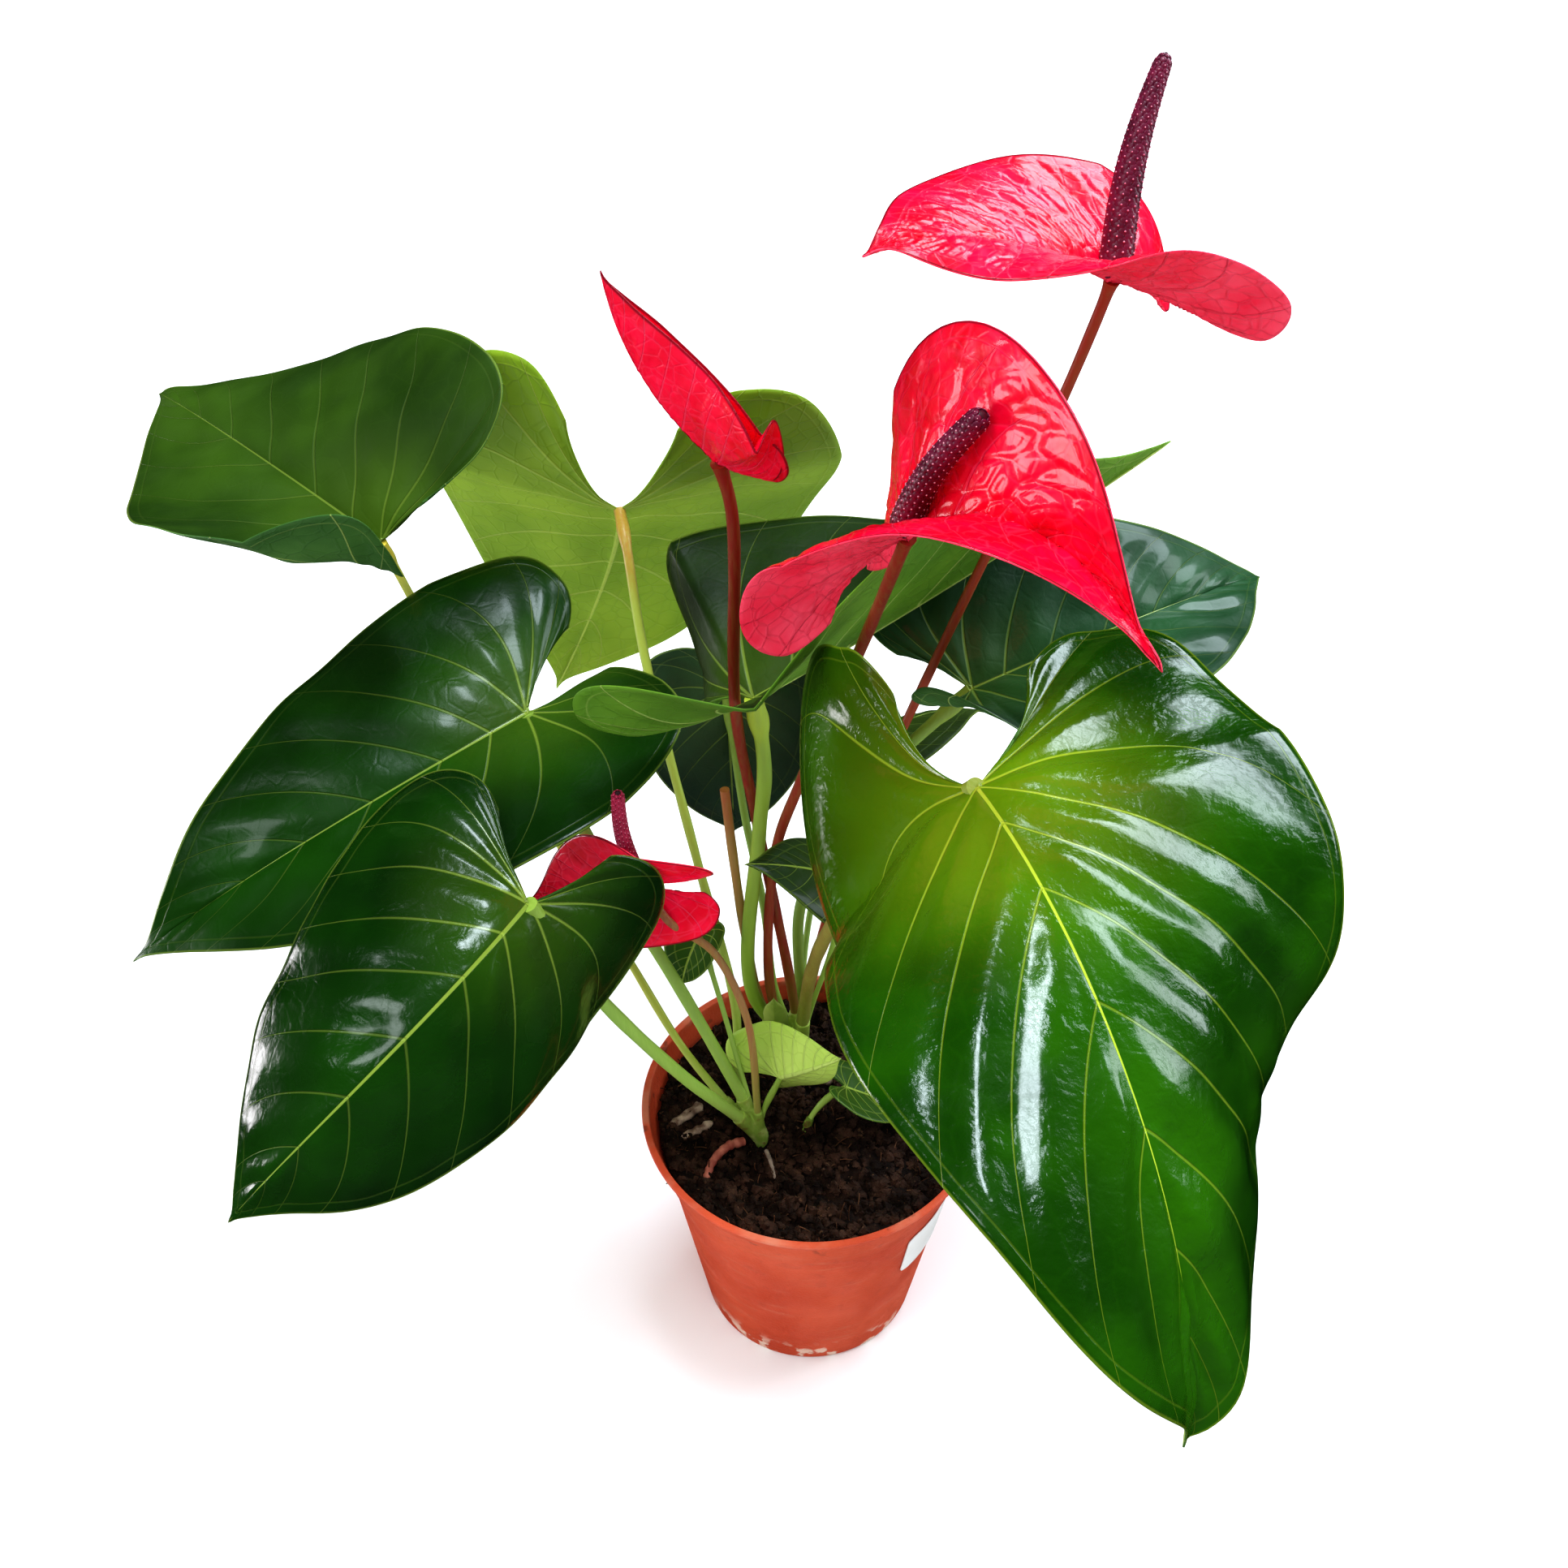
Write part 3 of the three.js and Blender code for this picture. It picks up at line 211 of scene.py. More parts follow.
# %% Leaves
LEAVES = dict(
    back_left=dict(
        at=[-134, 66, 290], length=142, widest_at=0.13, taper=1.08, tip_fold=-0.6,
        heading=143, pitch=13, roll=-27, droop=27, tip_droop=11, side_bend=-2, twist=-7,
        left=dict(width=59, lobe=25, gap=13, fold=31, curl=47, lobe_fold=32, wave=-4, wave_phase=-77),
        right=dict(width=67, lobe=26, gap=28, fold=38, curl=-38, lobe_drop=-23, lobe_fold=4,
            wave=4, wave_phase=5),
    ),
    back_center=dict(
        at=[-64, 102, 280], length=136, widest_at=0.02, taper=0.86, tip_fold=0.4,
        heading=96, pitch=-44, roll=14, droop=43, side_bend=18, twist=-1,
        left=dict(width=69, lobe=50, gap=21, curl=12, lobe_drop=-12, lobe_fold=33, wave=-4, wave_phase=76),
        right=dict(width=76, lobe=51, gap=20, fold=24, lobe_drop=-12, lobe_fold=18,
            wave=-6, wave_phase=102),
    ),
    left=dict(
        at=[-90, 35, 247], length=144, widest_at=0.1, taper=0.97, tip_fold=0.6,
        heading=-142, pitch=-7, roll=-11, droop=29, tip_droop=11, side_bend=-17, twist=-1,
        left=dict(width=55, lobe=38, gap=3, fold=12, curl=-3, lobe_drop=-6, lobe_fold=10,
            wave=1, wave_phase=-37),
        right=dict(width=56, lobe=37, gap=20, fold=24, curl=-20, lobe_drop=-1, lobe_fold=-7,
            wave=-4, wave_phase=-57),
    ),
    front_left=dict(
        at=[-81, -41, 239], length=134, widest_at=0.06, taper=0.64, tip_fold=1.1,
        heading=-118, pitch=-5, roll=-43, droop=78, tip_droop=4, side_bend=-3, twist=21,
        left=dict(width=48, lobe=37, gap=10, fold=-16, curl=-25, lobe_drop=-19, lobe_fold=2,
            wave=-2, wave_phase=11),
        right=dict(width=57, lobe=25, gap=24, fold=-18, curl=-36, lobe_drop=-3, lobe_fold=5,
            wave=-2, wave_phase=-28),
    ),
    center_folded=dict(
        at=[-19, 27, 259], length=151, widest_at=0.08, taper=1.04, tip_fold=1.2,
        heading=18, pitch=23, roll=16, droop=4, tip_droop=-3, side_bend=11, twist=-43,
        left=dict(width=67, lobe=33, gap=17, fold=-5, curl=11, lobe_drop=55, lobe_fold=-39,
            wave=3, wave_phase=-10),
        right=dict(width=63, lobe=44, gap=20, fold=49, curl=12, lobe_drop=2, lobe_fold=35,
            wave=-1, wave_phase=26),
    ),
    behind_stems=dict(
        at=[-30, 85, 218], length=70, widest_at=0.09, taper=0.99, tip_fold=0.7,
        heading=-80, pitch=-68, roll=5, droop=45, tip_droop=9, side_bend=-2, twist=5,
        left=dict(width=30, lobe=19, gap=6, fold=15, curl=-8, lobe_drop=10),
        right=dict(width=31, lobe=17, gap=4, fold=13, curl=-9, lobe_drop=5, lobe_fold=3),
    ),
    front_right=dict(
        at=[38, -58, 296], length=182, widest_at=0.26, taper=0.71, tip_fold=-1.1,
        heading=-74, pitch=11, roll=-7, droop=94, tip_droop=-2, side_bend=30, twist=-19,
        left=dict(width=86, lobe=55, gap=31, fold=7, curl=-22, lobe_drop=-51, lobe_fold=-2,
            wave=16, wave_phase=39),
        right=dict(width=56, lobe=40, gap=15, fold=-37, curl=-31, lobe_drop=-75, lobe_fold=-6,
            wave=-3, wave_phase=-7),
    ),
    right_back=dict(
        at=[50, 49, 246], length=133, widest_at=0.09, taper=0.97, tip_fold=0.8,
        heading=23, pitch=12, roll=14, droop=29, tip_droop=10, side_bend=12, twist=10,
        left=dict(width=51, lobe=21, gap=20, fold=29, curl=-12, lobe_drop=4, lobe_fold=3,
            wave=1, wave_phase=41),
        right=dict(width=51, lobe=25, gap=11, fold=33, curl=-12, lobe_fold=43, wave=2, wave_phase=-16),
    ),
    right_low=dict(
        at=[19.5, 75, 204], length=62, widest_at=0.07, taper=1.02, tip_fold=0.5,
        heading=45, roll=-22, droop=31, tip_droop=5, side_bend=-1, twist=-7,
        left=dict(width=24, lobe=17, gap=6, fold=-3, curl=-20, lobe_drop=10, wave=1, wave_phase=51),
        right=dict(width=25, lobe=17, gap=6, fold=-3, curl=-17, lobe_drop=10),
    ),
    small_center=dict(
        at=[12, 25, 186], length=45, widest_at=0.08, taper=1.02, tip_fold=0.5,
        heading=208, pitch=38, roll=-15, droop=13, tip_droop=3, side_bend=3, twist=2,
        left=dict(width=21, lobe=13, gap=5, fold=-8, curl=-24, lobe_drop=10),
        right=dict(width=18, lobe=13, gap=5, fold=-2, curl=-18, lobe_drop=10),
    ),
    small_left=dict(
        at=[-38, 19, 166], length=24, widest_at=0.09, taper=0.94, tip_fold=0.7,
        heading=-134, pitch=-50, roll=-16, droop=48, tip_droop=5, twist=-5,
        left=dict(width=9, lobe=7, gap=2, fold=15, curl=-5, lobe_drop=10),
        right=dict(width=11, lobe=7, gap=2, fold=16, curl=-6, lobe_drop=10),
    ),
    pale_low=dict(
        at=[-11, -3, 118], length=30, widest_at=0.09, taper=0.94, tip_fold=0.6,
        heading=-21, pitch=37, roll=-93, droop=4, tip_droop=1, side_bend=-11, twist=-11,
        left=dict(width=12, lobe=8, gap=4, fold=32, curl=4, lobe_drop=9, lobe_fold=3),
        right=dict(width=21, lobe=18, gap=5, fold=20, curl=-8, lobe_drop=5, lobe_fold=1),
    ),
    small_low=dict(
        at=[12, -1, 110], length=33, widest_at=0.09, taper=0.98, tip_fold=0.4,
        heading=2, pitch=-31, roll=-6, droop=-3, tip_droop=-3, side_bend=6, twist=7,
        left=dict(width=13, lobe=9, gap=3, fold=8, curl=-10, lobe_drop=10),
        right=dict(width=14, lobe=9, gap=3, fold=13, curl=-10, lobe_drop=6, lobe_fold=9),
    ),
)

# %% Flowers
SPATHES = dict(
    top=dict(
        at=[71, 21, 393], length=77, widest_at=0.08, taper=0.92, tip_fold=-0.2,
        heading=194, pitch=29, roll=-3, droop=20, tip_droop=10, side_bend=30, twist=2,
        left=dict(width=40, lobe=34, gap=10, fold=20, curl=19, lobe_drop=11, lobe_fold=13,
            wave=4, wave_phase=-11),
        right=dict(width=38, lobe=30, gap=8, fold=22, curl=-1, lobe_drop=21, lobe_fold=-6,
            wave=3, wave_phase=50),
    ),
    center=dict(
        at=[20, -27, 349], length=88, widest_at=0.07, taper=1.06, tip_fold=1.8,
        heading=-45, pitch=48, roll=-4, droop=89, tip_droop=1, side_bend=-9, twist=4,
        left=dict(width=42, lobe=32, gap=8, fold=56, curl=14, lobe_drop=33, lobe_fold=-34,
            wave=6, wave_phase=-97),
        right=dict(width=38, lobe=39, gap=10, fold=11, lobe_drop=53, lobe_fold=21, wave=-2, wave_phase=-11),
    ),
    furled=dict(
        at=[-27, 20, 343], length=63, widest_at=0.11, taper=0.92, tip_fold=1,
        heading=171, pitch=41, roll=-31, droop=-53, tip_droop=7, twist=36, cut_back=5,
        left=dict(width=31, lobe=22, gap=7, fold=68, curl=13, lobe_drop=-46, lobe_fold=32,
            wave=-1, wave_phase=-104),
        right=dict(width=21, lobe=22, gap=6, fold=73, curl=21, lobe_drop=-40, wave=-1, wave_phase=-90),
    ),
    low=dict(
        at=[-53, -3, 210], length=37, widest_at=0.09, taper=0.95, tip_fold=-0.4,
        heading=182, pitch=-1, roll=-71, droop=17, tip_droop=1, side_bend=17, twist=13,
        left=dict(width=21, lobe=23, gap=4, fold=9, curl=-9, lobe_drop=15, lobe_fold=-2),
        right=dict(width=24, lobe=20, gap=4, fold=51, curl=-8, lobe_drop=11, lobe_fold=9),
    ),
)

SPADICES = dict(
    top=dict(tip=[81, 42, 440], radius=4, tip_radius=2),
    center=dict(tip=[34, -41, 389], radius=3.5, tip_radius=2.6, stands_at=2.6),
    furled=dict(along=0.62, lift=4.2, radius=1.2, tip_radius=0.9),
    low=dict(tip=[-57, -14, 257], radius=2.5, tip_radius=1.8),
)

# %% Crowns and stalks
CROWNS = dict(
    back=dict(at=[-4, 30, 93], trunk=7),
    front=dict(at=[-18, -8, 91], trunk=6.5),
    side=dict(at=[-2, -5, 91], trunk=3),
)
ROOTED = 24

STALKS = dict(
    back_left=dict(crown="front", radius=1.4, sheath=20,
        via=[[-27, -4, 101], [-45, 7, 122], [-63, 22, 150],
            [-99, 55, 204], [-124, 75, 243], [-132, 81, 260]]),
    back_center=dict(crown="front", radius=1.6, sheath=18,
        via=[[-25, 4, 101], [-27, 18, 133], [-40, 43, 180], [-56, 74, 241], [-61, 89, 273]]),
    left=dict(crown="front", radius=2.1, sheath=18, via=[[-24, -3, 106], [-43, 8, 146], [-73, 24, 205]]),
    front_left=dict(crown="front", radius=2.1, sheath=16,
        via=[[-24, -9, 102], [-42, -17, 134], [-64, -28, 182], [-73, -35, 211]]),
    center_folded=dict(crown="back", radius=2.4, sheath=22,
        via=[[-21, 29, 126], [-18, 31, 200], [-16, 29, 227], [-17, 28, 245]]),
    behind_stems=dict(crown="back", radius=1.4, sheath=16,
        via=[[-13, 40, 115], [-17, 53, 144], [-24, 68, 178]]),
    front_right=dict(crown="back", radius=2.3, sheath=22,
        via=[[-1, 17, 146], [4, -2, 188], [14, -20, 230], [26, -41, 267]]),
    right_back=dict(crown="back", radius=2, sheath=20,
        via=[[-4, 38, 120], [-4, 47, 151], [10, 48, 191], [28, 47, 221]]),
    right_low=dict(crown="back", radius=1.2, sheath=14, via=[[-3, 47, 118], [3, 63, 154]]),
    small_center=dict(crown="back", radius=1, sheath=12, via=[[0, 30, 117], [6, 30, 143]]),
    small_left=dict(crown="front", radius=0.9, sheath=12, via=[[-23, -1, 109], [-31, 10, 140]]),
    pale_low=dict(crown="front", radius=0.9, sheath=8, via=[[-17, -6, 103]]),
    small_low=dict(crown="side", radius=1, sheath=6, via=[[0, -3, 97], [6, -1, 105]]),
)

FLOWER_STALKS = dict(
    top=dict(crown="back", radius=1.5, sheath=18,
        via=[[-2, 35, 116], [13, 46, 182], [30, 47, 236], [44, 42, 284], [63, 32, 351], [69, 25, 380]]),
    center=dict(crown="back", radius=1.7, sheath=20,
        via=[[-14, 29, 123], [-13, 30, 190], [-5, 20, 231], [11, -1, 297]]),
    furled=dict(crown="back", radius=1.8, sheath=20,
        via=[[-7, 33, 123], [-19, 35, 204], [-24.5, 26, 256], [-24, 22, 326]]),
    low=dict(crown="front", radius=1.3, sheath=14,
        via=[[-19, -7, 106], [-22, -2, 146], [-32, 0, 176], [-46, -9, 201]]),
)

STUB = dict(
    crown="back", radius=1.6, sheath=18, via=[[-17, 30, 116], [-23, 32, 150], [-27, 34, 190]],
    at=[-29, 35, 216],
)

# %% Sheaths and aerial roots
SHEATHS = dict(
    green=dict(
        at=[-13, 27, 98], length=34, widest_at=0.3, taper=0.7, tip_fold=0.6,
        heading=-95, pitch=84, roll=0, droop=6, twist=0,
        left=dict(width=5.5, lobe=2, gap=1.5, fold=24, curl=20),
        right=dict(width=5.5, lobe=2, gap=1.5, fold=24, curl=20),
    ),
    pale=dict(
        at=[-26, 6, 97], length=24, widest_at=0.3, taper=0.7, tip_fold=0.6,
        heading=150, pitch=74, roll=0, droop=10, twist=0,
        left=dict(width=3, lobe=2, gap=1, fold=26, curl=20),
        right=dict(width=3, lobe=2, gap=1, fold=26, curl=20),
    ),
)

AERIAL_ROOTS = dict(
    red=dict(radius=1.7, tip_radius=1.3,
        via=[[-24, -11, 93], [-29, -14, 94.5], [-34, -19, 93.5], [-37, -26, 91]]),
    grey=dict(radius=0.8, tip_radius=0.6, via=[[-16, -15, 93], [-14.5, -20, 94], [-13, -26, 92]]),
)
print("leaves:", len(LEAVES), "flowers:", len(SPATHES), "stalks:", len(STALKS) + len(FLOWER_STALKS) + 1)

# %% [markdown]
# ## The form of a blade
# The midrib is bent step by step: at each step the direction turns down, sideways and about itself. A half's
# outline is laid flat first; a point of it is then carried to the bent midrib, folded up at the midrib and
# curled across. Behind the stalk the two lobes bend on their own circles.

# %% Bend the midrib
BEND_STEPS = 24


def turned(vector, axis, angle):
    flat = vector * math.cos(angle) + np.cross(axis, vector) * math.sin(angle)
    return flat + axis * (axis @ vector) * (1 - math.cos(angle))


def midrib_frames(blade):
    """Places, directions, left-hand sides and upper directions along the midrib."""
    heading, pitch = math.radians(blade["heading"]), math.radians(blade.get("pitch", 0))
    ahead = np.array([math.cos(pitch) * math.cos(heading), math.cos(pitch) * math.sin(heading),
                      math.sin(pitch)])
    side = turned(np.array([-math.sin(heading), math.cos(heading), 0]), ahead,
                  math.radians(blade.get("roll", 0)))
    place = np.array(blade["at"], float)
    frames = [(place, ahead, side, np.cross(ahead, side))]
    sideways = math.radians(blade.get("side_bend", 0)) / BEND_STEPS
    twist = math.radians(blade.get("twist", 0)) / BEND_STEPS
    for step in range(BEND_STEPS):
        share = (step + 0.5) / BEND_STEPS
        down = math.radians(blade.get("droop", 0) + blade.get("tip_droop", 0) * 4 * share**3) / BEND_STEPS
        before = ahead
        ahead = turned(ahead, side, down)
        upper = np.cross(ahead, side)
        ahead, side = turned(ahead, upper, sideways), turned(side, upper, sideways)
        side = turned(side, ahead, twist)
        place = place + (before + ahead) * blade["length"] / BEND_STEPS / 2
        frames.append((place, ahead, side, np.cross(ahead, side)))
    return [np.array(column) for column in zip(*frames)]


# %% Outline of one half
def half_outline(blade, half):
    """Control points from the stalk round the lobe to the tip, and where on the midrib each vein starts."""
    length, taper = blade["length"], blade["taper"]
    width, lobe, gap = half["width"], half["lobe"], half["gap"]
    widest = blade["widest_at"] * length
    rest = length - widest
    shoulder = 1 - min(0.95, 0.82 * (0.8 + 0.2 * taper))
    return np.array([
        [0, 0, 0], [-0.35 * lobe, 0.55 * gap, 0], [-0.8 * lobe, gap, 0],
        [-lobe, gap + 0.42 * (width - gap), 0], [-0.72 * lobe, gap + 0.86 * (width - gap), 0],
        [widest, width, 0], [widest + 0.33 * rest, width * (1 - 0.14 * taper), 0.16 * length],
        [widest + 0.62 * rest, width * (1 - 0.48 * taper), 0.45 * length],
        [widest + 0.84 * rest, width * shoulder, 0.72 * length],
        [widest + 0.945 * rest, width * 0.045, 0.9 * length], [length, 0, length],
    ])


# %% Carry flat points to the bent blade
MARGIN_WAVES = 2.5             # from the junction round the lobe to the tip
FARTHEST_BACK = 1.2            # share of a lobe beyond which it folds no more


def blade_points(blade, half, sign, frames, x, y, u, rho):
    """Points at x along, y across, u round the outline and rho out from the midrib."""
    places, aheads, sides, uppers = frames
    along = np.clip(x / blade["length"], 0, 1)
    step = np.minimum((along * BEND_STEPS).astype(int), BEND_STEPS - 1)
    w = (along * BEND_STEPS - step)[..., None]
    place, side, upper = (a[step] * (1 - w) + a[step + 1] * w for a in (places, sides, uppers))
    back = np.clip(-x / half["lobe"], 0, None)
    bend = np.radians(half.get("lobe_drop", 0)) * back
    bend = np.where(np.abs(bend) < 1e-6, 1e-6, bend)
    radius = (np.clip(-x, 0, None) / bend)[..., None]
    turn = bend[..., None]
    lobe_place = places[0] - radius * np.sin(turn) * aheads[0] - radius * (1 - np.cos(turn)) * uppers[0]
    lobe_upper = np.cos(turn) * uppers[0] - np.sin(turn) * aheads[0]
    behind = (x < 0)[..., None]
    place = np.where(behind, lobe_place, place)
    upper = np.where(behind, lobe_upper, upper)
    side = np.where(behind, sides[0], side)
    fold = np.radians(half.get("fold", 0)) * (1 + (blade["tip_fold"] - 1) * along)
    fold = fold + np.radians(half.get("lobe_fold", 0)) * np.clip(back, 0, FARTHEST_BACK)
    curl = math.radians(half.get("curl", 0)) or 1e-6
    turned_by = fold + curl * y / half["width"]
    across = half["width"] / curl * (np.sin(turned_by) - np.sin(fold))
    up = half["width"] / curl * (np.cos(fold) - np.cos(turned_by))
    phase = math.radians(half.get("wave_phase", 0))
    up = up + half.get("wave", 0) * np.sin(np.pi * u) * np.sin(2 * np.pi * MARGIN_WAVES * u + phase) * rho**2
    return place + sign * across[..., None] * side + up[..., None] * upper


# %% [markdown]
# ## Veins
# An anthurium has a few strong veins that leave the junction together and run into the two lobes, and side
# veins that leave the midrib further on and arch towards the tip. Each point of a half gets a course: whole
# numbers are veins, halves lie between two of them. With the distance from one vein to the next, the
# material can draw a vein of a true width, and the mesh can bulge between two veins.

# %% Course and spacing of the veins
VEINS_AT = [0.13, 0.24, 0.33, 0.42, 0.5, 0.565, 0.62, 0.675, 0.73, 0.785, 0.84, 0.9, 0.96, 1.02]
VEIN_ARCH = 0.75


def vein_course(u, rho):
    return np.interp(u, VEINS_AT, np.arange(len(VEINS_AT))) - VEIN_ARCH * rho**2


# %% [markdown]
# ## A dressed blade
# Rows of points run from the midrib to the margin. The quilting, a slow ripple and, on a spathe, the small
# blisters of its net move the middle surface. Its two faces stand off from it by half the thickness, which
# falls towards the rim; below, the midrib stands out as a rib.

# %% Rows and columns of a half
SINUS_END, SINUS_FADES, SINUS_ROUNDING = 0.2, 0.45, 0.46
OUTLINE_SAMPLES = 400
FEWEST = dict(rows=20, columns=7)
COLUMN_CROWDING = 1.15         # above 1, columns lie closer together near the midrib


def row_shares(blade, spacing):
    """Shares round the outline, at even distances on the mean of the two halves."""
    dense = np.linspace(SINUS_END, 1, OUTLINE_SAMPLES)
    along = sum(distances_along(even_spline(half_outline(blade, blade[side])[:, :2], dense))
                for side in ("left", "right")) / 2
    rows = max(FEWEST["rows"], round(along[-1] / spacing))
    return np.interp(np.linspace(0, along[-1], rows + 1), along, dense)


def half_grid(blade, side, u, rho, frames):
    """Points of a half in rows, and what the mesh and the material need to know at each."""
    half = blade[side]
    edge = even_spline(half_outline(blade, half), u)
    fading = np.clip((SINUS_FADES - u) / (SINUS_FADES - SINUS_END), 0, 1)
    rounded = (SINUS_ROUNDING * half["gap"] * fading)[:, None]
    x = np.clip(edge[:, 2:], 0, None) * (1 - rho) + edge[:, :1] * rho
    y = np.abs(edge[:, 1:2]) * rho + rounded * rho * (1 - rho)
    u, rho = np.broadcast_arrays(u[:, None], rho)
    points = blade_points(blade, half, 1 if side == "left" else -1, frames, x, y, u, rho)
    steps = np.linalg.norm(np.gradient(points, axis=0), axis=2)
    course = vein_course(u, rho)
    spacing = steps / np.maximum(np.abs(np.gradient(course, axis=0)), 1e-6)
    reach = np.concatenate([np.zeros((len(points), 1)),
                            np.cumsum(np.linalg.norm(np.diff(points, axis=1), axis=2), axis=1)], axis=1)
    values = dict(x=x, y=y if side == "left" else -y, rho=rho, course=course, spacing=spacing,
                  from_midrib=reach, from_margin=reach[:, -1:] - reach)
    return points, values


# %% Weld the halves
WELD_STEPS = 1000              # per mm; points that round to the same step become one


def welded(points):
    """Which welded point each point is, and the first point of each."""
    keys = np.round(points * WELD_STEPS).astype(np.int64)
    _, first, same = np.unique(keys, axis=0, return_index=True, return_inverse=True)
    return same.ravel(), first


def surface_normals(points, quads):
    a, b, c, d = (points[quads[:, k]] for k in range(4))
    facing = np.cross(c - a, d - b)
    normals = np.zeros_like(points)
    for k in range(4):
        np.add.at(normals, quads[:, k], facing)
    return normals / np.maximum(np.linalg.norm(normals, axis=1, keepdims=True), 1e-9)


def grid_quads(rows, columns, start, flip):
    """Corner numbers of a grid's faces, all facing up."""
    i = start + np.arange(rows - 1)[:, None] * columns + np.arange(columns - 1)
    quads = np.stack([i, i + columns, i + columns + 1, i + 1], axis=-1).reshape(-1, 4)
    return quads[:, ::-1] if flip else quads


# %% Relief of the middle surface
QUILT = dict(from_midrib=0.16, from_margin=9, full_spacing=14)
SLOW_RIPPLE = dict(wavelength=34, from_midrib=12)
# blisters lie along the side veins: a cell is this many times longer than wide, two veins count as this
# many mm apart, and the right half's cells are drawn this many mm away from the left half's
CELLS = dict(stretch=2.2, vein_gap=10.0, other_half=400.0, from_margin=5)
CELL_DISH = dict(depth=0.5, start=0.75)    # the middle of a blister sinks back


def blade_lift(here, quilt, uneven, blister, cell, seed):
    """How far each point stands up from the smooth blade, in mm."""
    inside = smooth_step(0, QUILT["from_midrib"], here["rho"])
    inside = inside * smooth_step(0, QUILT["from_margin"], here["from_margin"])
    bulge = 0.5 - 0.5 * np.cos(2 * np.pi * here["course"])
    bulge = bulge * np.clip(here["spacing"] / QUILT["full_spacing"], 0, 1)
    flat = np.stack([here["x"], here["y"]], axis=1)
    slow = ripple(seed, flat, SLOW_RIPPLE["wavelength"])
    slow = slow * smooth_step(0, SLOW_RIPPLE["from_midrib"], here["from_midrib"])
    lift = quilt * bulge * inside + uneven * slow
    if blister:
        across = here["course"] * CELLS["vein_gap"] + (here["y"] < 0) * CELLS["other_half"]
        beside_veins = np.stack([here["from_midrib"] / CELLS["stretch"], across], axis=1)
        cells = cell_heights(seed, beside_veins, cell)
        cells = cells - CELL_DISH["depth"] * smooth_step(CELL_DISH["start"], 1, cells)
        lift = lift + blister * cells * smooth_step(0, CELLS["from_margin"], here["from_margin"])
    return lift


# %% Faces above, below and round the rim
def sheet_faces(quads, same, count):
    """Faces of both sides and the rim, the grid points that their corners come from, and their slots."""
    faces, corners, slots = [], [], []
    border = {}
    for quad in quads.tolist():
        numbers = [int(same[i]) for i in quad]
        kept = [k for k in range(4) if numbers[k] != numbers[k - 1]]
        if len(kept) < 3:
            continue
        ring = [numbers[k] for k in kept]
        grid = [quad[k] for k in kept]
        faces += [ring, [i + count for i in reversed(ring)]]
        corners += [grid, grid[::-1]]
        slots += [0, 1]
        for k, start in enumerate(ring):
            following = (k + 1) % len(ring)
            border[(start, ring[following])] = (grid[k], grid[following])
    for (start, end), (grid_start, grid_end) in border.items():
        if (end, start) not in border:
            faces.append([end, start, start + count, end + count])
            corners.append([grid_end, grid_start, grid_start, grid_end])
            slots.append(1)
    return faces, [i for ring in corners for i in ring], slots


# %% A whole blade
RIM = dict(fall=2.2, share=0.45)           # mm from the margin, share of the thickness left there
MIDRIB_RIB = dict(height=1.1, width=1.3, lower=0.8, narrower=0.6, above=0.25)
FULL_RIB_AT = 45               # mm; a narrower half has a lower midrib


def add_blade(node, slot, blade, materials, thickness, spacing, seed, quilt=0.0, uneven=0.0, blister=0.0,
              cell=0.0):
    widest = max(blade["left"]["width"], blade["right"]["width"])
    columns = max(FEWEST["columns"], round(widest / spacing))
    frames, u = midrib_frames(blade), row_shares(blade, spacing)
    rho = (np.arange(columns + 1) / columns) ** COLUMN_CROWDING
    halves = [half_grid(blade, side, u, rho, frames) for side in ("left", "right")]
    grid_points = np.concatenate([points.reshape(-1, 3) for points, _ in halves])
    value = {key: np.concatenate([values[key].ravel() for _, values in halves]) for key in halves[0][1]}
    quads = np.concatenate([grid_quads(len(u), len(rho), start, flip)
                            for start, flip in ((0, False), (len(u) * len(rho), True))])
    same, first = welded(grid_points)
    here = {key: values[first] for key, values in value.items()}
    middle, welded_quads = grid_points[first], same[quads]
    lift = blade_lift(here, quilt, uneven, blister, cell, seed)
    middle = middle + surface_normals(middle, welded_quads) * lift[:, None]
    normals = surface_normals(middle, welded_quads)

    thinning = np.clip(here["from_margin"] / RIM["fall"], 0, 1) ** 0.5
    stand_off = thickness / 2 * (RIM["share"] + (1 - RIM["share"]) * thinning)
    along = np.clip(here["x"] / blade["length"], 0, 1)
    rib_width = MIDRIB_RIB["width"] * (1 - MIDRIB_RIB["narrower"] * along)
    rib = MIDRIB_RIB["height"] * (1 - MIDRIB_RIB["lower"] * along) * min(1, widest / FULL_RIB_AT)
    rib = rib * np.exp(-(here["from_midrib"] / rib_width) ** 2)
    upper_face = middle + normals * (stand_off - MIDRIB_RIB["above"] * rib)[:, None]
    lower_face = middle - normals * (stand_off + rib)[:, None]

    faces, corners, slots = sheet_faces(quads, same, len(middle))
    pairs = dict(blade=("x", "y"), vein=("course", "spacing"), rim=("from_midrib", "from_margin"))
    maps = {key: np.stack([value[a], value[b]], axis=1)[corners] for key, (a, b) in pairs.items()}
    points = np.concatenate([upper_face, lower_face])
    add_piece(make_mesh(node + "_blade", points, faces, materials, slots, maps))


# %% [markdown]
# ## Mixing finishes
# Materials are built from nodes. A small helper adds nodes to one tree and takes a number, a colour or
# another node's socket wherever a value goes, so that a finish reads like a recipe. Colours are named as a
# painter would read them off the plant, and turned into the linear values that light needs.

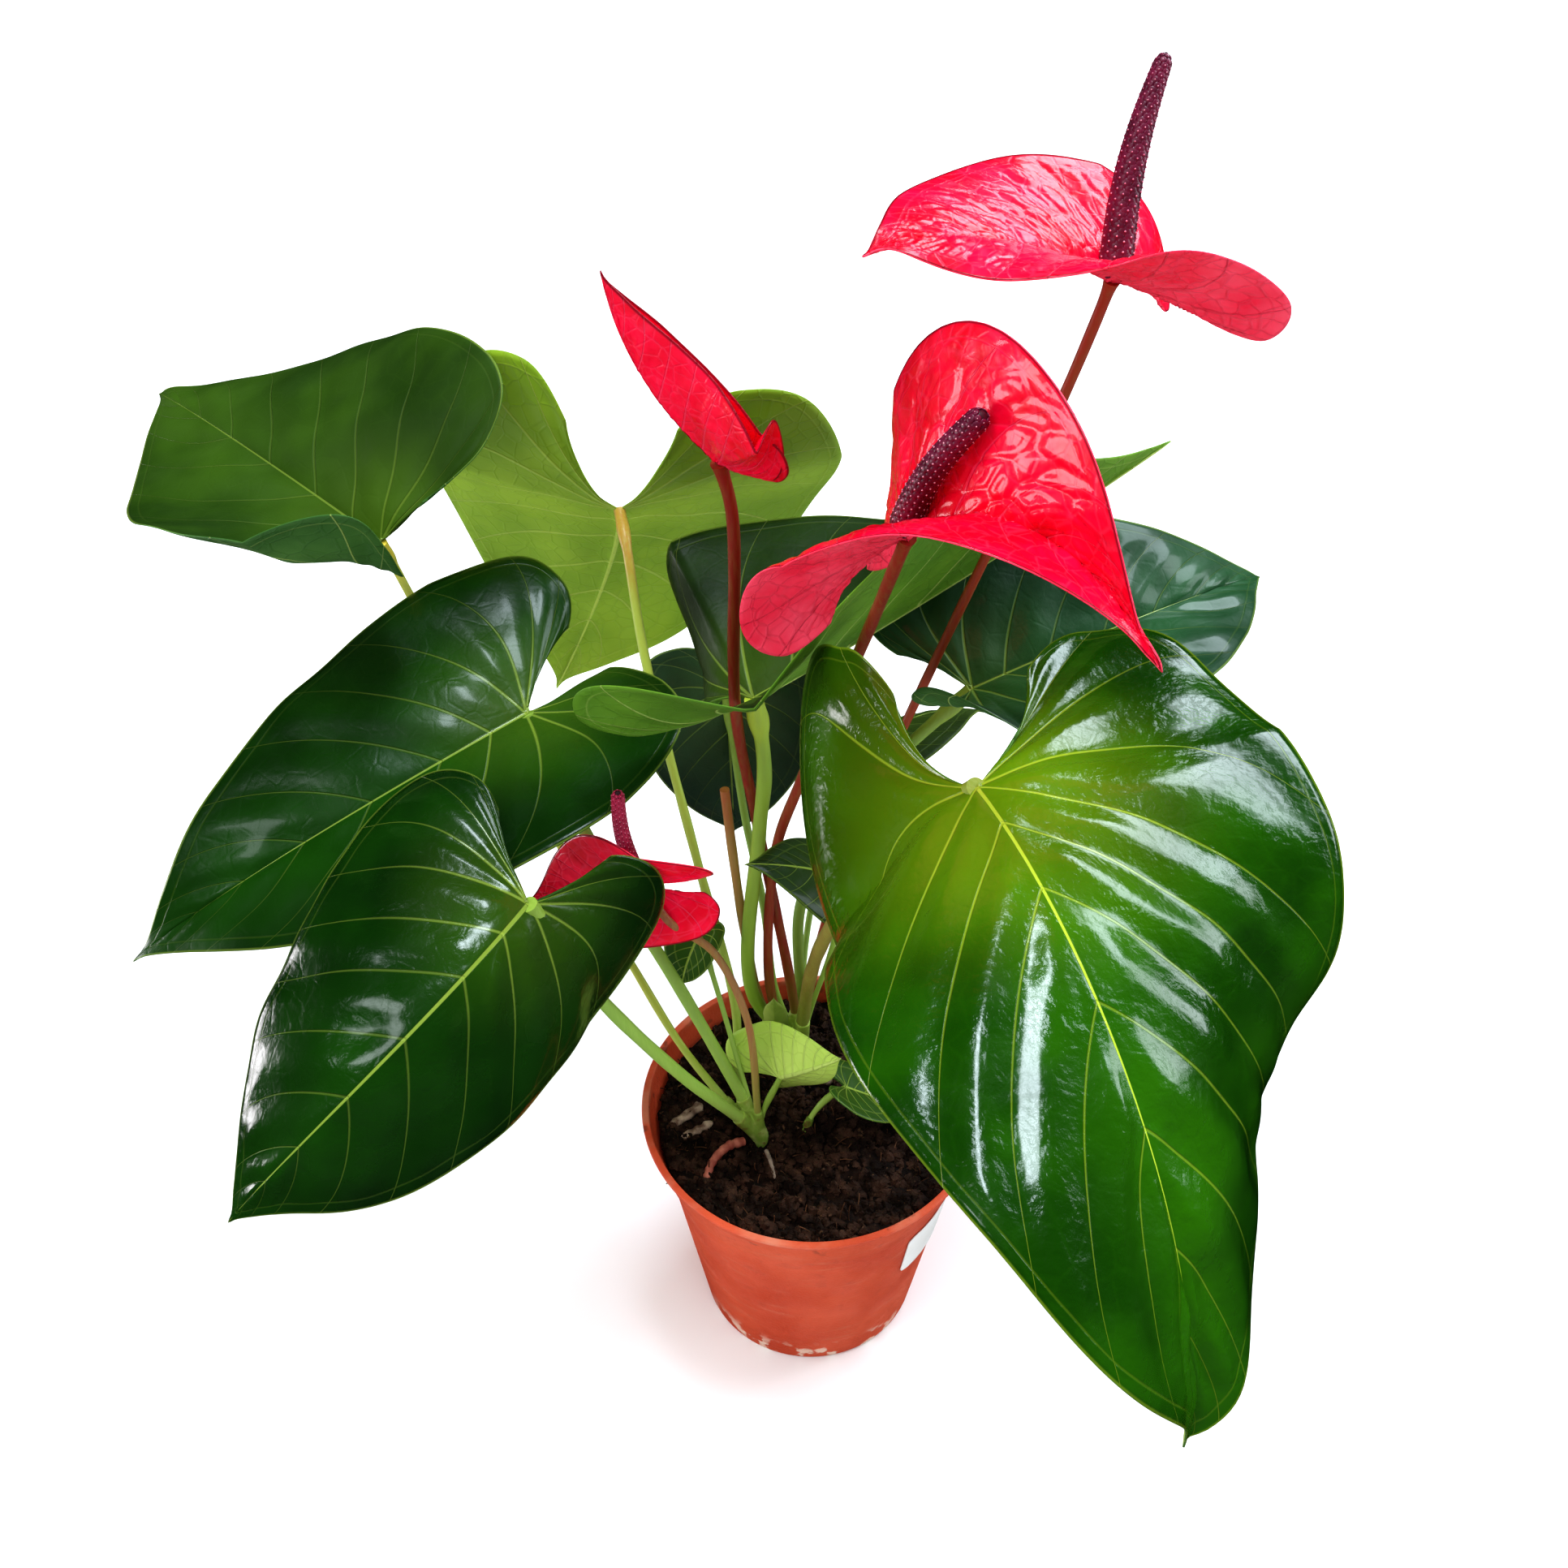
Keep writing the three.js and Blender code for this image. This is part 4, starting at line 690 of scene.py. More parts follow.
# %% Colours and a recipe for node trees
def paint(code):
    """A colour such as 'c8553c' as linear red, green, blue and a full alpha."""
    parts = [int(code[i:i + 2], 16) / 255 for i in (0, 2, 4)]
    return tuple(p / 12.92 if p <= 0.04045 else ((p + 0.055) / 1.055) ** 2.4 for p in parts) + (1.0,)


class Recipe:
    def __init__(self, tree, material=None):
        self.tree = tree
        self.material = material

    def put(self, socket, value):
        if isinstance(value, bpy.types.NodeSocket):
            self.tree.links.new(value, socket)
        elif isinstance(value, str) and socket.type == "RGBA":
            socket.default_value = paint(value)
        else:
            socket.default_value = value

    def node(self, kind, *values, **named):
        """A new node. Names that start with a capital are its inputs, the others are its settings."""
        node = self.tree.nodes.new(kind)
        for key, value in named.items():
            if key[0].islower():
                setattr(node, key, value)
        for socket, value in zip(node.inputs, values):
            self.put(socket, value)
        for key, value in named.items():
            if key[0].isupper():
                self.put(node.inputs[key.replace("_", " ")], value)
        return node

    def out(self, kind, *values, **named):
        return self.node(kind, *values, **named).outputs[0]

    def plus(self, a, b):
        return self.out("ShaderNodeMath", a, b, operation="ADD")

    def times(self, a, b):
        return self.out("ShaderNodeMath", a, b, operation="MULTIPLY")

    def away_from(self, a, b):
        difference = self.out("ShaderNodeMath", a, b, operation="SUBTRACT")
        return self.out("ShaderNodeMath", difference, operation="ABSOLUTE")

    def fade(self, value, low, high, start=0.0, end=1.0):
        return self.out("ShaderNodeMapRange", value, low, high, start, end, interpolation_type="SMOOTHSTEP")

    def mix(self, share, a, b):
        node = self.node("ShaderNodeMix", share, data_type="RGBA")
        self.put(node.inputs[6], a)
        self.put(node.inputs[7], b)
        return node.outputs[2]

    def tint(self, colour, mask, share, code):
        """The colour, painted over by a share where the mask is 1."""
        return self.mix(self.times(mask, share), colour, code)

    def place(self):
        return self.node("ShaderNodeTexCoord").outputs["Object"]

    def in_mm(self, axis):
        return self.times(self.split(self.place())[axis], 1 / MM)

    def stretched(self, scale):
        return self.out("ShaderNodeMapping", Vector=self.place(), Scale=scale)

    def noise(self, scale, detail=3.0, where=None):
        return self.out("ShaderNodeTexNoise", Vector=where or self.place(), Scale=scale, Detail=detail)

    def patches(self, scale, low, high, detail=3.0, start=0.0, end=1.0, where=None):
        """Soft blotches: the start where the noise is under low, the end where it is over high."""
        return self.fade(self.noise(scale, detail, where), low, high, start, end)

    def uv(self, name):
        return self.out("ShaderNodeUVMap", uv_map=name)

    def split(self, vector):
        return self.node("ShaderNodeSeparateXYZ", vector).outputs[:3]


# %% Start and finish a material
def start_material(name):
    material = bpy.data.materials.new(name)
    material.use_nodes = True
    material.node_tree.nodes.clear()
    return Recipe(material.node_tree, material)


def finished(recipe, colour, roughness, relief=None, **inputs):
    """The recipe's material with its shader. relief: a height, its depth in metres and its strength."""
    if relief:
        height, depth, strength = relief
        inputs["Normal"] = recipe.out("ShaderNodeBump", Height=height, Distance=depth, Strength=strength)
    shader = recipe.out("ShaderNodeBsdfPrincipled", Base_Color=colour, Roughness=roughness, **inputs)
    recipe.node("ShaderNodeOutputMaterial", shader)
    return recipe.material


def start_group(name, kind, inputs, outputs):
    """The recipe of a new node group, its input sockets and the sockets that take its result."""
    tree = bpy.data.node_groups.new(name, kind)
    for in_out, sockets in (("INPUT", inputs), ("OUTPUT", outputs)):
        for label, socket_kind in sockets.items():
            tree.interface.new_socket(label, in_out=in_out, socket_type="NodeSocket" + socket_kind)
    return Recipe(tree), tree.nodes.new("NodeGroupInput").outputs, tree.nodes.new("NodeGroupOutput").inputs


# %% [markdown]
# ## The vein pattern, shared by every blade
# Leaves and spathes have the same plan, so one group of nodes draws the veins for all of them. It reads the
# blade's own coordinates, in millimetres: course and spacing of the veins, and the distances to the midrib
# and to the margin. It puts out masks, which each finish paints and grooves in its own way.

# %% Vein group
VEIN_SOFTNESS = (0.5, 1.8)     # shares of a vein's half width where it is full and where it is gone
MARGIN_VEIN = 4.0              # mm from the margin of the vein that collects the side veins


def vein_group():
    recipe, given, result = start_group(
        "blade veins", "ShaderNodeTree", dict.fromkeys(("Vein width", "Net size", "Glow reach"), "Float"),
        dict.fromkeys(("Midrib", "Veins", "Net", "Glow", "Inner", "Rim"), "Float"))
    flat = recipe.uv("blade")
    along = recipe.split(flat)[0]
    course, spacing, _ = recipe.split(recipe.uv("vein"))
    from_midrib, from_margin, _ = recipe.split(recipe.uv("rim"))

    nearest = recipe.out("ShaderNodeMath", course, operation="ROUND")
    off_vein = recipe.times(recipe.away_from(course, nearest), spacing)
    half_width = recipe.times(given["Vein width"], recipe.fade(from_margin, 1.0, 45.0, 0.22, 0.6))
    full, gone = (recipe.times(half_width, share) for share in VEIN_SOFTNESS)
    margin_vein = recipe.fade(recipe.away_from(from_margin, MARGIN_VEIN), 0.1, 0.5, 0.35, 0.0)
    rib = recipe.times(given["Vein width"], recipe.fade(along, 0.0, 150.0, 1.15, 0.4))
    net_scale = recipe.out("ShaderNodeMath", 1.0, given["Net size"], operation="DIVIDE")
    net = recipe.out("ShaderNodeTexVoronoi", feature="DISTANCE_TO_EDGE", Vector=flat, Scale=net_scale)
    away = recipe.node("ShaderNodeVectorMath", flat, operation="LENGTH").outputs["Value"]
    masks = dict(
        Midrib=recipe.fade(from_midrib, recipe.times(rib, 0.6), rib, 1.0, 0.0),
        Veins=recipe.out("ShaderNodeMath", recipe.fade(off_vein, full, gone, 1.0, 0.0), margin_vein,
                         operation="MAXIMUM"),
        Net=recipe.fade(net, 0.0, 0.09, 1.0, 0.0),
        Glow=recipe.fade(away, 0.0, given["Glow reach"], 1.0, 0.0),
        Inner=recipe.fade(from_midrib, 2.0, 48.0, 1.0, 0.0),
        Rim=recipe.fade(from_margin, 0.25, 0.9, 1.0, 0.0),
    )
    for key, socket in masks.items():
        recipe.put(result[key], socket)
    return recipe.tree


VEIN_GROUP = vein_group()


def veins_for(recipe, width, net, reach):
    group = recipe.node("ShaderNodeGroup", node_tree=VEIN_GROUP, Vein_width=width, Net_size=net,
                        Glow_reach=reach)
    return group.outputs


def veined(recipe, colour, veins, **coats):
    """The colour with each named mask of the veins painted over it: a share and a colour for each."""
    for mask, (share, code) in coats.items():
        colour = recipe.tint(colour, veins[mask], share, code)
    return colour


def grooved(recipe, height, veins, **depths):
    """The height with each named mask of the veins raised, or sunk where its depth is below zero."""
    for mask, depth in depths.items():
        height = recipe.plus(height, recipe.times(veins[mask], depth))
    return height


# %% [markdown]
# ## Leaf finishes
# The upper face is dark and waxy: deep green near the margin, lighter towards the midrib, with thin
# yellow-green veins that lie in grooves, and a clear coat. The underside is paler and matt, and its veins
# stand out. Each leaf has its own tones, because they differ in age and in the light that they get.

# %% Leaf materials
LEAF_SHINE = 0.25
LEAF_RELIEF = (0.0004, 0.8)    # depth in metres and strength
SIDE_VEIN = "b9cc70"           # on an underside


def leaf_upper(name, deep, light, vein="9fb84a", glow="7ea02a", glow_share=0.12, reach=45.0, roughness=0.3,
               coat=0.2, texture=0.5, vein_share=0.4):
    recipe = start_material(name)
    veins = veins_for(recipe, 0.7, 7.5, reach)
    tone = recipe.plus(recipe.times(veins["Inner"], 0.55),
                       recipe.times(recipe.patches(38.0, 0.35, 0.7, detail=2.0), 0.4))
    # side veins are palest near the stalk
    vein_strength = recipe.plus(recipe.times(veins["Glow"], vein_share), 0.5 * vein_share)
    colour = veined(recipe, recipe.mix(tone, deep, light), veins, Glow=(glow_share, glow),
                    Net=(0.05, light), Veins=(vein_strength, vein), Midrib=(min(1, 2 * vein_share), vein),
                    Rim=(0.3, vein))
    height = recipe.plus(recipe.times(recipe.noise(330.0), texture),
                         recipe.times(recipe.noise(95.0, 2.0), texture * 1.6))
    height = grooved(recipe, height, veins, Veins=-0.9, Midrib=-0.7, Net=-0.1)
    gloss = recipe.patches(60.0, 0.3, 0.8, start=roughness, end=roughness + 0.14)
    return finished(recipe, colour, gloss, (height, *LEAF_RELIEF), Coat_Weight=coat,
                    Coat_Roughness=0.12, Specular_IOR_Level=LEAF_SHINE)


def leaf_under(name, pale, shade, vein):
    recipe = start_material(name)
    veins = veins_for(recipe, 0.9, 6.0, 40.0)
    colour = veined(recipe, recipe.mix(recipe.patches(30.0, 0.3, 0.75), shade, pale), veins,
                    Net=(0.2, shade), Veins=(0.45, vein), Midrib=(0.7, vein))
    height = grooved(recipe, recipe.times(recipe.noise(260.0), 0.4), veins, Veins=1.0, Midrib=0.6, Net=0.35)
    return finished(recipe, colour, 0.5, (height, *LEAF_RELIEF), Specular_IOR_Level=LEAF_SHINE)


# %% [markdown]
# ## Make the leaves
# The tones follow the plant in its photograph: the large leaf at the right is young and bright near its
# junction, the one at the back centre shows its sunlit underside, and the small one near the soil is pale.
# Deep and light are the tones of the upper face, pale and shade those of the underside.

# %% Tones and relief of each leaf
LEAF_LOOKS = dict(
    back_left=dict(deep="1f3a06", light="3a5a10", pale="55803a", shade="3a642c", quilt=0.5, roughness=0.5,
                   coat=0.0, texture=0.3, vein_share=0.14),
    # painted light: this leaf's bright tones are partly its pale underside and partly painted light shining
    # through it from behind
    back_center=dict(deep="4f8012", light="86ac34", pale="8fae2c", shade="789a22", quilt=0.6,
                     under_vein="b4c75a"),
    left=dict(deep="0a2803", light="164206", pale="3c662a", shade="294c1c", quilt=0.6, vein_share=0.22),
    front_left=dict(deep="082404", light="174208", pale="3c662a", shade="294c1c", quilt=0.9, roughness=0.2,
                    coat=0.45, texture=0.9, vein_share=0.3),
    # painted light: the underside tones are partly the paler underside and partly painted light shining
    # through the leaf
    center_folded=dict(deep="122406", light="24400e", pale="6e9a2c", shade="527d20", quilt=0.6,
                       roughness=0.42, coat=0.05, vein_share=0.25),
    behind_stems=dict(deep="172c22", light="2a4634", pale="6f963c", shade="4f7c28", quilt=0.5,
                      roughness=0.4, coat=0.1, vein_share=0.2),
    front_right=dict(deep="123a02", light="2c6404", pale="5b882c", shade="426c20", quilt=1.3,
                     vein="a9c236", glow="7ea010", glow_share=0.5, reach=72.0, roughness=0.16, coat=0.6,
                     texture=1.3, vein_share=0.5),
    right_back=dict(deep="12361a", light="24542c", pale="4b763a", shade="335c28", quilt=0.9, roughness=0.4,
                    coat=0.35, vein_share=0.3),
    right_low=dict(deep="22360c", light="3c5216", pale="6a7a30", shade="4c5f22", quilt=0.5, roughness=0.45,
                   coat=0.0),
    small_center=dict(deep="12280c", light="203e12", pale="3a5a2a", shade="2a441e", quilt=0.4,
                      roughness=0.4, under_vein="7c9450"),
    small_left=dict(deep="0d3006", light="22520c", pale="476e2c", shade="2f521e", quilt=0.3, roughness=0.4),
    pale_low=dict(deep="a6c850", light="c2de6c", pale="c6e070", shade="a8c850", quilt=0.4, vein="cfe09a",
                  glow="b9d488", roughness=0.5, coat=0.0, texture=0.3),
    small_low=dict(deep="0d3006", light="22520c", pale="476e2c", shade="2f521e", quilt=0.4, roughness=0.42),
)
BLADE_THICKNESS = 0.7
FIRST_SEED = dict(leaf=20, spathe=50, sheath=70)
LEAF_MESHES = dict(large=dict(spacing=1.9, uneven=0.5), small=dict(spacing=1.1, uneven=0.15))
SMALL_LEAF = 75                # mm; shorter blades get closer points

# %% Leaves
def leaf_finishes(name, pale, shade, under_vein=SIDE_VEIN, **upper):
    return [leaf_upper(f"{name} leaf upper", **upper),
            leaf_under(f"{name} leaf underside", pale, shade, under_vein)]


for number, (leaf_name, leaf) in enumerate(LEAVES.items()):
    look = dict(LEAF_LOOKS[leaf_name])
    quilt = look.pop("quilt")
    size_class = "small" if leaf["length"] < SMALL_LEAF else "large"
    slot = "leaf_pale" if leaf_name == "pale_low" else "leaf"
    add_blade("leaf_" + leaf_name, slot, leaf, leaf_finishes(leaf_name, **look), BLADE_THICKNESS,
              seed=FIRST_SEED["leaf"] + number, quilt=quilt, **LEAF_MESHES[size_class])

# %% [markdown]
# ## Flowers
# The red part is a single modified leaf, the spathe. Its upper face is like patent leather: crimson, with a
# hard coat over a net of small blisters, so that every light breaks into pink streaks; pink painted along
# the net and the veins adds a painted highlight there. Its underside is a matt coral with dull red veins.

# %% Spathe materials
def spathe_upper():
    recipe = start_material("spathe upper")
    veins = veins_for(recipe, 0.7, 5.0, 30.0)
    # painted highlight: the net and the veins are painted pink, as the streaks of light that they catch
    colour = veined(recipe, recipe.mix(recipe.patches(70.0, 0.3, 0.7), "dc0024", "f80a40"), veins,
                    Net=(0.15, "f4557c"), Veins=(0.3, "f4557c"), Rim=(1.0, "8c0c22"))
    height = recipe.plus(recipe.times(recipe.noise(420.0, 2.0), 0.35),
                         recipe.times(recipe.noise(160.0, 2.0), 0.9))
    height = grooved(recipe, height, veins, Veins=-0.5, Net=-0.2, Midrib=-0.6)
    return finished(recipe, colour, 0.3, (height, 0.0005, 0.8), Coat_Weight=0.3, Coat_Roughness=0.05,
                    Specular_IOR_Level=0.15)


def spathe_under():
    recipe = start_material("spathe underside")
    veins = veins_for(recipe, 0.8, 5.0, 25.0)
    colour = veined(recipe, recipe.mix(recipe.patches(60.0, 0.3, 0.7), "f42048", "ff4a68"), veins,
                    Net=(0.25, "c81c3a"), Veins=(0.4, "c01a36"), Glow=(0.3, "c81a34"))
    height = grooved(recipe, recipe.times(recipe.noise(200.0), 0.4), veins, Veins=0.8, Net=0.5)
    return finished(recipe, colour, 0.42, (height, 0.0004, 0.8), Specular_IOR_Level=0.3)


# %% Spathes
SPATHE_MESH = dict(thickness=0.8, spacing=0.8, quilt=0.5, uneven=0.35)
SPATHE_UPPER, SPATHE_UNDER = spathe_upper(), spathe_under()
BLISTERS = dict(
    top=dict(blister=0.7, cell=4.6), center=dict(blister=0.8, cell=4.8),
    furled=dict(blister=0.4, cell=4.6), low=dict(blister=0.35, cell=4.5),
)
for number, (flower_name, spathe) in enumerate(SPATHES.items()):
    # a furled spathe shows its outside, which is as bright and hard as the upper face
    outside = SPATHE_UPPER if flower_name == "furled" else SPATHE_UNDER
    add_blade("spathe_" + flower_name, "spathe", spathe, [SPATHE_UPPER, outside],
              seed=FIRST_SEED["spathe"] + number, **SPATHE_MESH, **BLISTERS[flower_name])

# %% [markdown]
# ## Tubes by hand
# Crowns, spadix cores and bark are rings of points skinned into closed bodies. The rings' directions are
# carried along the line, so that the skin doesn't twist.

# %% Rings along a line
def ring_frames(line):
    """Two directions across the line at each of its points, carried along without twist."""
    ahead = np.gradient(line, axis=0)
    ahead /= np.linalg.norm(ahead, axis=1, keepdims=True)
    across = np.array([0.3, 1, 0.2])
    firsts, seconds = [], []
    for direction in ahead:
        across = across - direction * (across @ direction)
        across /= np.linalg.norm(across)
        firsts.append(across)
        seconds.append(np.cross(direction, across))
    return np.array(firsts), np.array(seconds)


def ring_faces(rings, sides):
    """Faces that join closed rings of points, each ring to the next."""
    steps = [(i, (i + 1) % sides) for i in range(sides)]
    return [[low + i, low + j, low + sides + j, low + sides + i]
            for low in range(0, (rings - 1) * sides, sides) for i, j in steps]


def closed_tube(rings):
    """Points and faces of a body made of rings of points, with a flat face at each end."""
    count, sides = rings.shape[:2]
    last = (count - 1) * sides
    ends = [list(range(sides))[::-1], list(range(last, last + sides))]
    return rings.reshape(-1, 3), ring_faces(count, sides) + ends


def angles_round(sides):
    return 2 * math.pi * np.arange(sides) / sides


def skin(line, radii, sides):
    """Points and faces of a closed tube. radii: one per point of the line, or one per point and side."""
    firsts, seconds = ring_frames(line)
    angles = angles_round(sides)[:, None]
    radii = np.broadcast_to(np.asarray(radii, float).reshape(len(line), -1), (len(line), sides))[..., None]
    return closed_tube(line[:, None] + radii * (firsts[:, None] * np.cos(angles)
                                                + seconds[:, None] * np.sin(angles)))


def join_bodies(bodies):
    points, faces, start = [], [], 0
    for body_points, body_faces in bodies:
        points.append(body_points)
        faces += [[i + start for i in face] for face in body_faces]
        start += len(body_points)
    return np.concatenate(points), faces


# %% [markdown]
# ## Spadices
# The spike in the middle of each flower is packed with florets in rows that alternate. Each floret is a low
# swelling with a pale dot. Geometry Nodes set one on every point of a lattice: the points carry the outward
# direction and the floret's size.

# %% Plain and speckled finishes
def fleshy(name, dark, light, scale=60.0, roughness=0.45, coat=0.1, grain=0.3):
    recipe = start_material(name)
    colour = recipe.mix(recipe.patches(scale, 0.3, 0.7), dark, light)
    height = recipe.times(recipe.noise(600.0), grain)
    return finished(recipe, colour, roughness, (height, 0.0002, 0.7), Coat_Weight=coat, Coat_Roughness=0.2)


SPADIX_CORE = fleshy("spadix core", "2a0612", "420b1e", roughness=0.6)
FLORET_FINISH = fleshy("floret", "4f0d28", "6e1438", scale=200.0, roughness=0.42)
LOW_FLORET_FINISH = fleshy("young floret", "8e1238", "b01c48", scale=200.0, roughness=0.42)
DOT_FINISH = fleshy("floret dot", "c46a86", "e2a4b4", roughness=0.4)

# %% Start a Geometry Nodes tree and grow a mesh with it
def start_geometry_tree(name, **inputs):
    return start_group(name, "GeometryNodeTree", dict(Geometry="Geometry", **inputs),
                       dict(Geometry="Geometry"))


def grown_mesh(name, source_mesh, tree, **values):
    """The mesh that the tree makes from the source mesh, with the tree's inputs set by identifier."""
    holder = plain_object(name, source_mesh)
    modifier = holder.modifiers.new("grow", "NODES")
    modifier.node_group = tree
    for item in tree.interface.items_tree:
        if item.item_type == "SOCKET" and item.in_out == "INPUT" and item.name in values:
            modifier[item.identifier] = values[item.name]
    return evaluated_mesh(holder, name)


def named_attribute(recipe, name, kind="FLOAT"):
    return recipe.out("GeometryNodeInputNamedAttribute", data_type=kind, Name=name)


def in_finish(recipe, geometry, finish):
    return recipe.out("GeometryNodeSetMaterial", Geometry=geometry, Material=finish)


def joined(recipe, *parts):
    node = recipe.node("GeometryNodeJoinGeometry")
    for part in parts:
        recipe.tree.links.new(part, node.inputs[0])
    return node.outputs[0]


# %% Floret tree
def floret_tree():
    recipe, given, result = start_geometry_tree("florets on a lattice", flatness="Float", dot_size="Float",
                                                body_finish="Material", dot_finish="Material")
    body = recipe.out("GeometryNodeMeshIcoSphere", Radius=1.0, Subdivisions=2)
    flat = recipe.out("ShaderNodeCombineXYZ", 1.0, 1.0, given["flatness"])
    body = recipe.out("GeometryNodeTransform", Geometry=body, Scale=flat)
    dot = recipe.out("GeometryNodeMeshIcoSphere", Radius=given["dot_size"], Subdivisions=1)
    top = recipe.out("ShaderNodeCombineXYZ", 0.0, 0.0, given["flatness"])
    dot = recipe.out("GeometryNodeTransform", Geometry=dot, Translation=top)
    floret = joined(recipe, in_finish(recipe, dot, given["dot_finish"]),
                    in_finish(recipe, body, given["body_finish"]))
    outward = named_attribute(recipe, "outward", "FLOAT_VECTOR")
    turn = recipe.out("FunctionNodeAlignRotationToVector", axis="Z", Vector=outward)
    placed = recipe.out("GeometryNodeInstanceOnPoints", Points=given["Geometry"], Instance=floret,
                        Rotation=turn, Scale=named_attribute(recipe, "size"))
    real = recipe.out("GeometryNodeRealizeInstances", placed)
    recipe.put(result["Geometry"], recipe.out("GeometryNodeSetShadeSmooth", real))
    return recipe.tree


FLORET_TREE = floret_tree()

# %% Route and girth of a spadix
SPIKE = dict(taper=1.6, stands_at=1.0, inside=[0.06, 0.35, 0.7, 1], bow=2.2)
SPIKE_FOOT = dict(share=0.8, length=0.05)
SPIKE_POINTS = 60
SPIKE_END = dict(start=0.94, least=0.02)
INSIDE_STEPS = 16              # between two points of a hidden spadix's route


def spadix_line(name):
    spadix, spathe = SPADICES[name], SPATHES[name]
    places, _, _, uppers = midrib_frames(spathe)
    if "tip" in spadix:
        foot = places[0] + uppers[0] * spadix.get("stands_at", SPIKE["stands_at"])
        share = np.linspace(0, 1, SPIKE_POINTS)[:, None]
        bow = np.sin(np.pi * share) * SPIKE["bow"] * np.array([[-1, 0, 0.3]])
        return foot * (1 - share) + np.array(spadix["tip"]) * share + bow
    last = round(spadix["along"] * BEND_STEPS)
    inside = [round(share * last) for share in SPIKE["inside"]]
    return route_through(places[inside] + uppers[inside] * spadix["lift"], INSIDE_STEPS)


def spadix_girth(name, share):
    spadix = SPADICES[name]
    girth = spadix["radius"] + (spadix["tip_radius"] - spadix["radius"]) * share ** SPIKE["taper"]
    widening = np.clip(share / SPIKE_FOOT["length"], 0, 1)
    widening = SPIKE_FOOT["share"] + (1 - SPIKE_FOOT["share"]) * widening
    return girth * closing(share, **SPIKE_END) * widening


# %% Where the florets stand
FLORET_ROWS = dict(spacing=1.2, around=7, first=0.6, last=0.35)
FLORETS = dict(sunk_to=0.92, size=0.5, flatness=0.34, dot_size=0.17, tipped_from=0.93, tipped=12)


def floret_lattice(name, line):
    """Places of the florets, the directions that they face, and their sizes in metres."""
    length = distances_along(line)[-1]
    rows, around = round(length / FLORET_ROWS["spacing"]), FLORET_ROWS["around"]
    shares = (np.arange(rows) + FLORET_ROWS["first"]) / (rows + FLORET_ROWS["last"])
    middles = resample(line, shares * length)
    firsts, seconds = ring_frames(middles)
    tipward = np.gradient(middles, axis=0)
    girth = spadix_girth(name, shares)
    lattice, outward, sizes = [], [], []
    for row in range(rows):
        tipped = max(0.0, shares[row] - FLORETS["tipped_from"]) * FLORETS["tipped"]
        for k in range(around):
            angle = 2 * math.pi * (k + row / 2) / around
            direction = firsts[row] * math.cos(angle) + seconds[row] * math.sin(angle)
            lattice.append(middles[row] + direction * girth[row] * FLORETS["sunk_to"])
            outward.append(direction + tipward[row] * tipped)
            sizes.append(FLORETS["size"] * girth[row] * 2 * math.pi / around * MM)
    return lattice, outward, sizes


# %% Spadices
CORE = dict(points=70, sides=20, share=0.93)
for flower_name in SPADICES:
    line = spadix_line(flower_name)
    shares = np.linspace(0, 1, CORE["points"])
    fine = resample(line, shares * distances_along(line)[-1])
    core_body = skin(fine, spadix_girth(flower_name, shares) * CORE["share"], CORE["sides"])
    add_piece(make_mesh(f"spadix_{flower_name}_core", *core_body, [SPADIX_CORE]))
    lattice, outward, sizes = floret_lattice(flower_name, line)
    points_mesh = make_mesh(f"spadix_{flower_name}_lattice", lattice, [])
    point_values(points_mesh, "outward", outward)
    point_values(points_mesh, "size", sizes)
    florets = grown_mesh(f"spadix_{flower_name}_florets", points_mesh, FLORET_TREE,
                         body_finish=LOW_FLORET_FINISH if flower_name == "low" else FLORET_FINISH,
                         dot_finish=DOT_FINISH, flatness=FLORETS["flatness"], dot_size=FLORETS["dot_size"])
    add_piece(florets)
    print(flower_name, "spadix:", len(lattice), "florets")

# %% [markdown]
# ## Stalks
# Every stalk is a line with a girth at each point, so one Geometry Nodes tree makes them all: the line
# becomes a curve, and a ring as wide as its girth runs along it. Petioles swell in a knee below the blade.
# The colour changes along a stalk, from pale at the soil to its own tone at the top.

# %% Stalk tree
def stalk_tree():
    recipe, given, result = start_geometry_tree("tube along a line", ring_sides="Int", finish="Material")
    curve = recipe.out("GeometryNodeMeshToCurve", Mesh=given["Geometry"])
    ring = recipe.out("GeometryNodeCurvePrimitiveCircle", Resolution=given["ring_sides"], Radius=1.0)
    tube = recipe.out("GeometryNodeCurveToMesh", Curve=curve, Profile_Curve=ring,
                      Scale=named_attribute(recipe, "girth"), Fill_Caps=True)
    smooth = recipe.out("GeometryNodeSetShadeSmooth", tube)
    real = recipe.out("GeometryNodeRealizeInstances", smooth)
    recipe.put(result["Geometry"], in_finish(recipe, real, given["finish"]))
    return recipe.tree


STALK_TREE = stalk_tree()
TUBE_SIDES = 16


def tube_piece(name, line, girth, finish):
    source = make_mesh(name + "_line", line, [], edges=[(i, i + 1) for i in range(len(line) - 1)])
    point_values(source, "girth", girth * MM)
    add_piece(grown_mesh(name, source, STALK_TREE, ring_sides=TUBE_SIDES, finish=finish))


# %% Stalk finish
FOOT_FADE = 55.0               # mm above the soil over which a stalk's foot takes the colour of its shaft
TOP_FADE = (26.0, 4.0)         # mm below the blade where the colour of the top starts and where it is full


